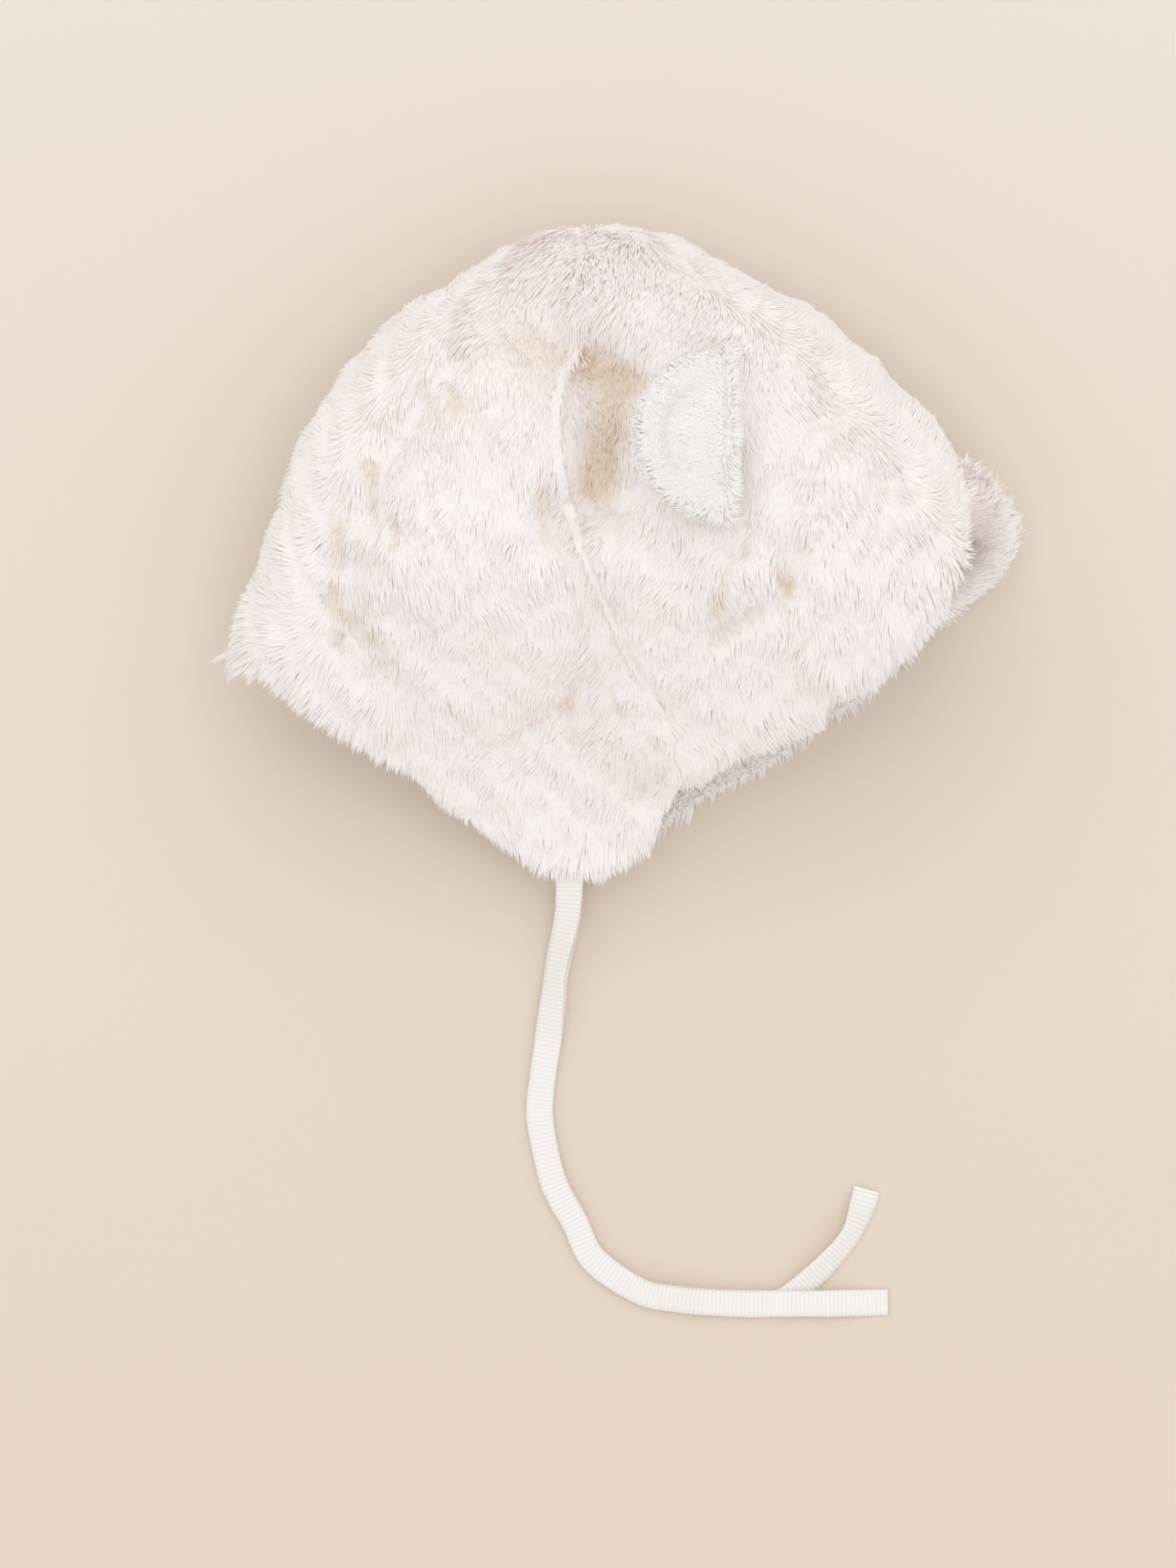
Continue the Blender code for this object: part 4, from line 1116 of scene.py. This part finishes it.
def fill(piece, start, pressure, furthest):
    """Blows the pad up a little against its held stitches, and caps how far it may go."""
    cloth = piece.modifiers.new("wadding", "CLOTH")
    cloth.settings.use_pressure = True
    cloth.settings.uniform_pressure_force = pressure
    cloth.settings.effector_weights.gravity = 0.0
    cloth.settings.vertex_group_mass = "held"
    cloth.settings.mass = 0.05
    cloth.point_cache.frame_start = 1
    cloth.point_cache.frame_end = fill_frames
    for frame_number in range(1, fill_frames + 1):
        bpy.context.scene.frame_set(frame_number)
    apply(piece, cloth)
    bpy.context.scene.frame_set(1)
    move = points_of(piece) - start
    far = np.linalg.norm(move, axis=1, keepdims=True)
    move_to(piece, start + move * np.minimum(1.0, furthest / np.maximum(far, 1e-9)))
    print(piece.name, "filled by up to", round(float(far.max()) * 1000, 2), "mm")


near_pad, near_points = stuffed_ear("ear_near_pad", ear_thickness * 0.78)
fill(near_pad, near_points, 3.0, 0.0012)

# %% Set the ears on the bonnet
angle, share = np.meshgrid(np.linspace(0.2, right_angle, 160), np.linspace(0.02, 0.98, 160))
upper_points = backing("face", "near", angle, share).reshape(-1, 3)
under_ear = np.hypot(*(upper_points[:, :2] - foot).T) < 0.004
foot_height = float(upper_points[under_ear, 2].max()) + ear_thickness * 0.45 + 0.003
ear_base = np.array([foot[0], foot[1], foot_height])
lean_up = np.array([-math.cos(ear_lean), 0.0, math.sin(ear_lean)])
face_out = np.array([math.sin(ear_lean), 0.0, math.cos(ear_lean)])
sideways = np.array([0.0, 1.0, 0.0])


def stand_up(points):
    bend = ear_bend * (points[:, 1] / ear_height) ** 2
    return (ear_base + points[:, :1] * sideways + points[:, 1:2] * lean_up
            + (points[:, 2:3] + bend[:, None]) * face_out)


def turn_up(vectors):
    return vectors[:, :1] * sideways + vectors[:, 1:2] * lean_up + vectors[:, 2:3] * face_out


def lie_flat(points):
    z = np.clip(points[:, 2] + folded_ear / 2, 0.0009, folded_ear)
    return np.stack([far_foot[0] - points[:, 1], far_foot[1] + points[:, 0], z], axis=1)


def ear_hairs(piece, count):
    """Roots and normals spread over a pad by the area of its triangles, in the ear's own axes."""
    mesh = piece.data
    mesh.calc_loop_triangles()
    faces = np.array([t.vertices for t in mesh.loop_triangles])
    area = np.array([t.area for t in mesh.loop_triangles])
    place_of, normal_of = points_of(piece), np.array([v.normal for v in mesh.vertices])
    area = area * (place_of[faces].mean(1)[:, 1] > 0.0012)
    pick = faces[rng.choice(len(area), count, p=area / area.sum())]
    mix = rng.dirichlet((1.0, 1.0, 1.0), count)[..., None]
    return (place_of[pick] * mix).sum(1), unit((normal_of[pick] * mix).sum(1))


def set_ear(pad, node, way):
    """Moves a pad from its own axes to its place, shades it smooth and ties it to the frame."""
    move_to(pad, way(points_of(pad)))
    pad.data.shade_smooth()
    belong(pad, node, "ear_cloth")


root, normal = ear_hairs(near_pad, 13000)
set_ear(near_pad, "ear_near", stand_up)

# %% Short pile of the near ear
ear_pile = 0.0024
away = unit(root * np.array([1.0, 1.0, 0.0]) + np.array([0.0, 0.006, 0.0]))
comb = flat(away, normal)
comb = unit(comb + 0.25 * ripple(root, 0.008, 21)[:, None] * np.cross(normal, unit(comb)) + 1e-6)
at_base = smoothstep((0.005 - root[:, 1]) / 0.004) * (normal[:, 2] > -0.2)
comb = unit(comb * (1.0 - at_base)[:, None] + np.array([0.0, -1.0, 0.1]) * at_base[:, None])
comb = unit(flat(comb, normal))
ear_reach = np.hypot(root[:, 0] / (ear_width / 2), root[:, 1] / ear_height)
at_edge = smoothstep((ear_reach - 0.86) / 0.14)
length = ear_pile * rng.uniform(0.8, 1.1, len(root)) * (1.0 + 0.8 * at_base) * (1.0 + 0.35 * at_edge)
lift = np.radians(6.5 + rng.normal(0.0, 1.5, len(root))) + np.radians(30.0) * at_edge
groove_shade = np.exp(-((ear_reach - stitch_reach) / 0.08) ** 2) * (normal[:, 2] > 0)
groove_shade = groove_shade * (np.abs(root[:, 0]) < 0.35 * ear_width)
# painted shade: the hairs in the groove inside the rim get a lower tone, for the shade in the crease
tone = soft_bright + rng.normal(0.0, tone_noise, len(root)) - 0.32 * groove_shade
root, normal, comb = stand_up(root - normal * 0.0002), turn_up(normal), turn_up(comb)
middle, tip, _ = gather(root, normal, comb, length, lift, (0.12,), (0.4,), (0.5,))
make_pile("ear_near_pile", "ear_near", "ear_plush", (root, middle, tip, normal),
          rng.uniform(*seam_width, len(root)), tone)

# %% The folded ear
far_pad, _ = stuffed_ear("ear_far_pad", folded_ear * 0.9)
set_ear(far_pad, "ear_far", lie_flat)

# %% [markdown]
# ## Finishes
# Cream plush is paler at its tips than at its roots, and its roots are made a little warmer and
# darker still, as painted shade for the gaps between hairs. One shared group tints the pile: across
# its map runs each hair's tone, from painted shade on the hairs of partings, creases and hollows to
# the bright ones on a crest, and up the map the way from root to tip. Noise could vary the tone
# too, but the map knows the folds.
# A second group draws the knitted rows of the backing and of the ear's cloth. The groups put out
# colours and heights only; the shader and its sheen stay in each material. Subsurface light could
# soften the pile, but it costs time and evens out the hairs, and many diffuse bounces do as well.

# %% Node helpers


def add(tree, kind, inputs, **settings):
    """Adds a node, sets it up, and fills its inputs with values or links them to other outputs."""
    node = tree.nodes.new("ShaderNode" + kind)
    for label, value in settings.items():
        setattr(node, label, value)
    for label, value in inputs.items():
        if isinstance(value, bpy.types.NodeSocket):
            tree.links.new(value, node.inputs[label])
        else:
            node.inputs[label].default_value = value
    return node.outputs


def mixed(tree, factor, low, high):
    return add(tree, "Mix", {"Factor": factor, "A": low, "B": high}, data_type="RGBA")["Result"]


def faded(tree, value, low, high, kind):
    return add(tree, "MapRange", {"Value": value, "From Min": low, "From Max": high},
               interpolation_type=kind)["Result"]


def group_with(name, inputs, outputs):
    tree = bpy.data.node_groups.new(name, "ShaderNodeTree")
    for in_out, sockets in (("INPUT", inputs), ("OUTPUT", outputs)):
        for label, kind in sockets.items():
            tree.interface.new_socket(name=label, in_out=in_out, socket_type="NodeSocket" + kind)
    return tree, tree.nodes.new("NodeGroupInput").outputs, tree.nodes.new("NodeGroupOutput").inputs


def material(name, roughness, sheen=0.0):
    made = bpy.data.materials.new(name)
    made.use_nodes = True
    shader = made.node_tree.nodes["Principled BSDF"].inputs
    shader["Roughness"].default_value = roughness
    shader["Specular IOR Level"].default_value = 0.25
    shader["Sheen Weight"].default_value = sheen
    shader["Sheen Roughness"].default_value = 0.5
    return made, made.node_tree, shader


# %% Shared groups
pile_tint, given, result = group_with("pile_tint", {"Root": "Color", "Tip": "Color", "Shade": "Color"},
                                      {"Color": "Color"})
uv_map = add(pile_tint, "UVMap", {}, uv_map="OFBake")["UV"]
split = add(pile_tint, "SeparateXYZ", {"Vector": uv_map})
up_hair = mixed(pile_tint, faded(pile_tint, split["Y"], 0.0, 0.75, "SMOOTHSTEP"), given["Root"], given["Tip"])
by_tone = faded(pile_tint, split["X"], 0.10, 0.62, "SMOOTHSTEP")
pile_tint.links.new(mixed(pile_tint, by_tone, given["Shade"], up_hair), result["Color"])

knit_rows, given, result = group_with("knit_rows", {"Scale": "Float", "Between": "Color", "Thread": "Color"},
                                      {"Color": "Color", "Height": "Float"})
where = add(knit_rows, "TexCoord", {})["Object"]
rows = add(knit_rows, "TexWave", {"Scale": given["Scale"], "Distortion": 1.5, "Detail": 1.0, "Vector": where},
           wave_type="BANDS", bands_direction="DIAGONAL")["Fac"]
knit_rows.links.new(mixed(knit_rows, rows, given["Between"], given["Thread"]), result["Color"])
knit_rows.links.new(rows, result["Height"])
print("groups", pile_tint.name, knit_rows.name)

# %% The pile's materials


def finish_with(finish, made):
    for piece in dressed[finish]:
        piece.data.materials.append(made)
    print(finish, "on", len(dressed[finish]), "pieces")


def pile_material(name, root_colour, tip_colour, shade_colour):
    made, tree, shader = material(name, 0.75, 0.15)
    tint = tree.nodes.new("ShaderNodeGroup")
    tint.node_tree = pile_tint
    for label, colour in (("Root", root_colour), ("Tip", tip_colour), ("Shade", shade_colour)):
        tint.inputs[label].default_value = (*colour, 1.0)
    tree.links.new(tint.outputs["Color"], shader["Base Color"])
    finish_with(name, made)


# root colour: partly the plush's own, partly painted shade of the gaps between hairs; shade colour: painted
# shade
pile_material("teddy_pile", (0.926, 0.882, 0.862), (0.936, 0.909, 0.902), (0.81, 0.71, 0.60))
# the ear's plush is a darker copy of the hat's: painted shade that evens out the extra light its short,
# smooth pile catches
pile_material("ear_plush", (0.89, 0.866, 0.851), (0.90, 0.881, 0.873), (0.80, 0.72, 0.64))

# %% Knitted cloth and woven tape
rows_per_metre = 1 / 0.0012


def raised(tree, shader, height, distance, strength):
    """Turns a height into the bump that the shader's normal takes."""
    bump = add(tree, "Bump", {"Height": height, "Distance": distance, "Strength": strength})
    tree.links.new(bump["Normal"], shader["Normal"])


def knit_material(name, colour):
    made, tree, shader = material(name, 0.9, 0.1)
    knit = tree.nodes.new("ShaderNodeGroup")
    knit.node_tree = knit_rows
    knit.inputs["Scale"].default_value = 0.31 * rows_per_metre
    knit.inputs["Between"].default_value = tuple(0.90 * c for c in colour) + (1.0,)
    knit.inputs["Thread"].default_value = (*colour, 1.0)
    tree.links.new(knit.outputs["Color"], shader["Base Color"])
    raised(tree, shader, knit.outputs["Height"], 0.0003, 0.6)
    finish_with(name, made)


def tape_material(name):
    made, tree, shader = material(name, 0.7, 0.2)
    uv = add(tree, "UVMap", {}, uv_map="OFBake")["UV"]
    scaled_uv = add(tree, "Mapping", {"Vector": uv, "Scale": (26.0, 172.0, 1.0)})["Vector"]
    weave = add(tree, "TexWave", {"Vector": scaled_uv, "Scale": 0.314, "Distortion": 0.4},
                bands_direction="Y")
    colour = mixed(tree, weave["Fac"], (0.86, 0.83, 0.80, 1.0), (0.93, 0.91, 0.89, 1.0))
    tree.links.new(colour, shader["Base Color"])
    raised(tree, shader, weave["Fac"], 0.0002, 0.5)
    finish_with(name, made)


knit_material("knit_backing", (0.93, 0.89, 0.84))
knit_material("ear_cloth", (0.91, 0.888, 0.875))
tape_material("cotton_tape")

# %% [markdown]
# ## Floor and light
# The bonnet lies on a plain warm sheet. It is painted a little darker and warmer towards the ties:
# painted falloff of the light, which is stronger from the side away from them. The light is very
# soft: pale walls all round, a large overhead box for the faint shadows, and a weak fill like a far
# window. A sky or a picture of a room could light it too, but not this evenly. The light bounces
# many times, as it does between the hairs of real plush.

# %% Floor
bpy.ops.object.select_all(action="DESELECT")
bpy.ops.mesh.primitive_plane_add(size=6.0, location=(0, 0, 0))
floor = bpy.context.active_object
floor.name = "floor"
made, tree, shader = material("warm_paper", 0.9)
shader["Specular IOR Level"].default_value = 0.1
split = add(tree, "SeparateXYZ", {"Vector": add(tree, "TexCoord", {})["Object"]})
# darker and warmer towards the ties: painted falloff of the light
fade = faded(tree, split["Y"], -0.26, 0.16, "LINEAR")
paper = mixed(tree, fade, (0.752, 0.648, 0.552, 1.0), (0.796, 0.732, 0.661, 1.0))
tree.links.new(paper, shader["Base Color"])
floor.data.materials.append(made)
print("floor of", [round(side, 1) for side in floor.dimensions], "metres")

# %% Light
world = bpy.data.worlds.new("white_room")
bpy.context.scene.world = world
world.use_nodes = True
world.node_tree.nodes["Background"].inputs["Color"].default_value = (1.0, 0.985, 0.97, 1.0)
world.node_tree.nodes["Background"].inputs["Strength"].default_value = 0.92


def soft_box(name, place_at, size, power, colour):
    """A round soft light that looks at the hat."""
    data = bpy.data.lights.new(name, "AREA")
    data.shape = "DISK"
    data.size, data.energy, data.color = size, power, colour
    lamp = bpy.data.objects.new(name, data)
    bpy.context.scene.collection.objects.link(lamp)
    lamp.location = place_at
    lamp.rotation_euler = (-mathutils.Vector(place_at)).to_track_quat("-Z", "Y").to_euler()
    print(name, "of", power, "watts")


soft_box("overhead_box", (0.15, 0.20, 2.4), 1.8, 7.8, (1.0, 0.99, 0.98))
soft_box("window_fill", (-0.20, 1.50, 1.1), 1.6, 2.2, (1.0, 0.995, 0.99))
bpy.context.scene.view_settings.view_transform = "Standard"
bpy.context.scene.view_settings.look = "None"
bpy.context.scene.cycles.diffuse_bounces = 24
bpy.context.scene.cycles.max_bounces = 24
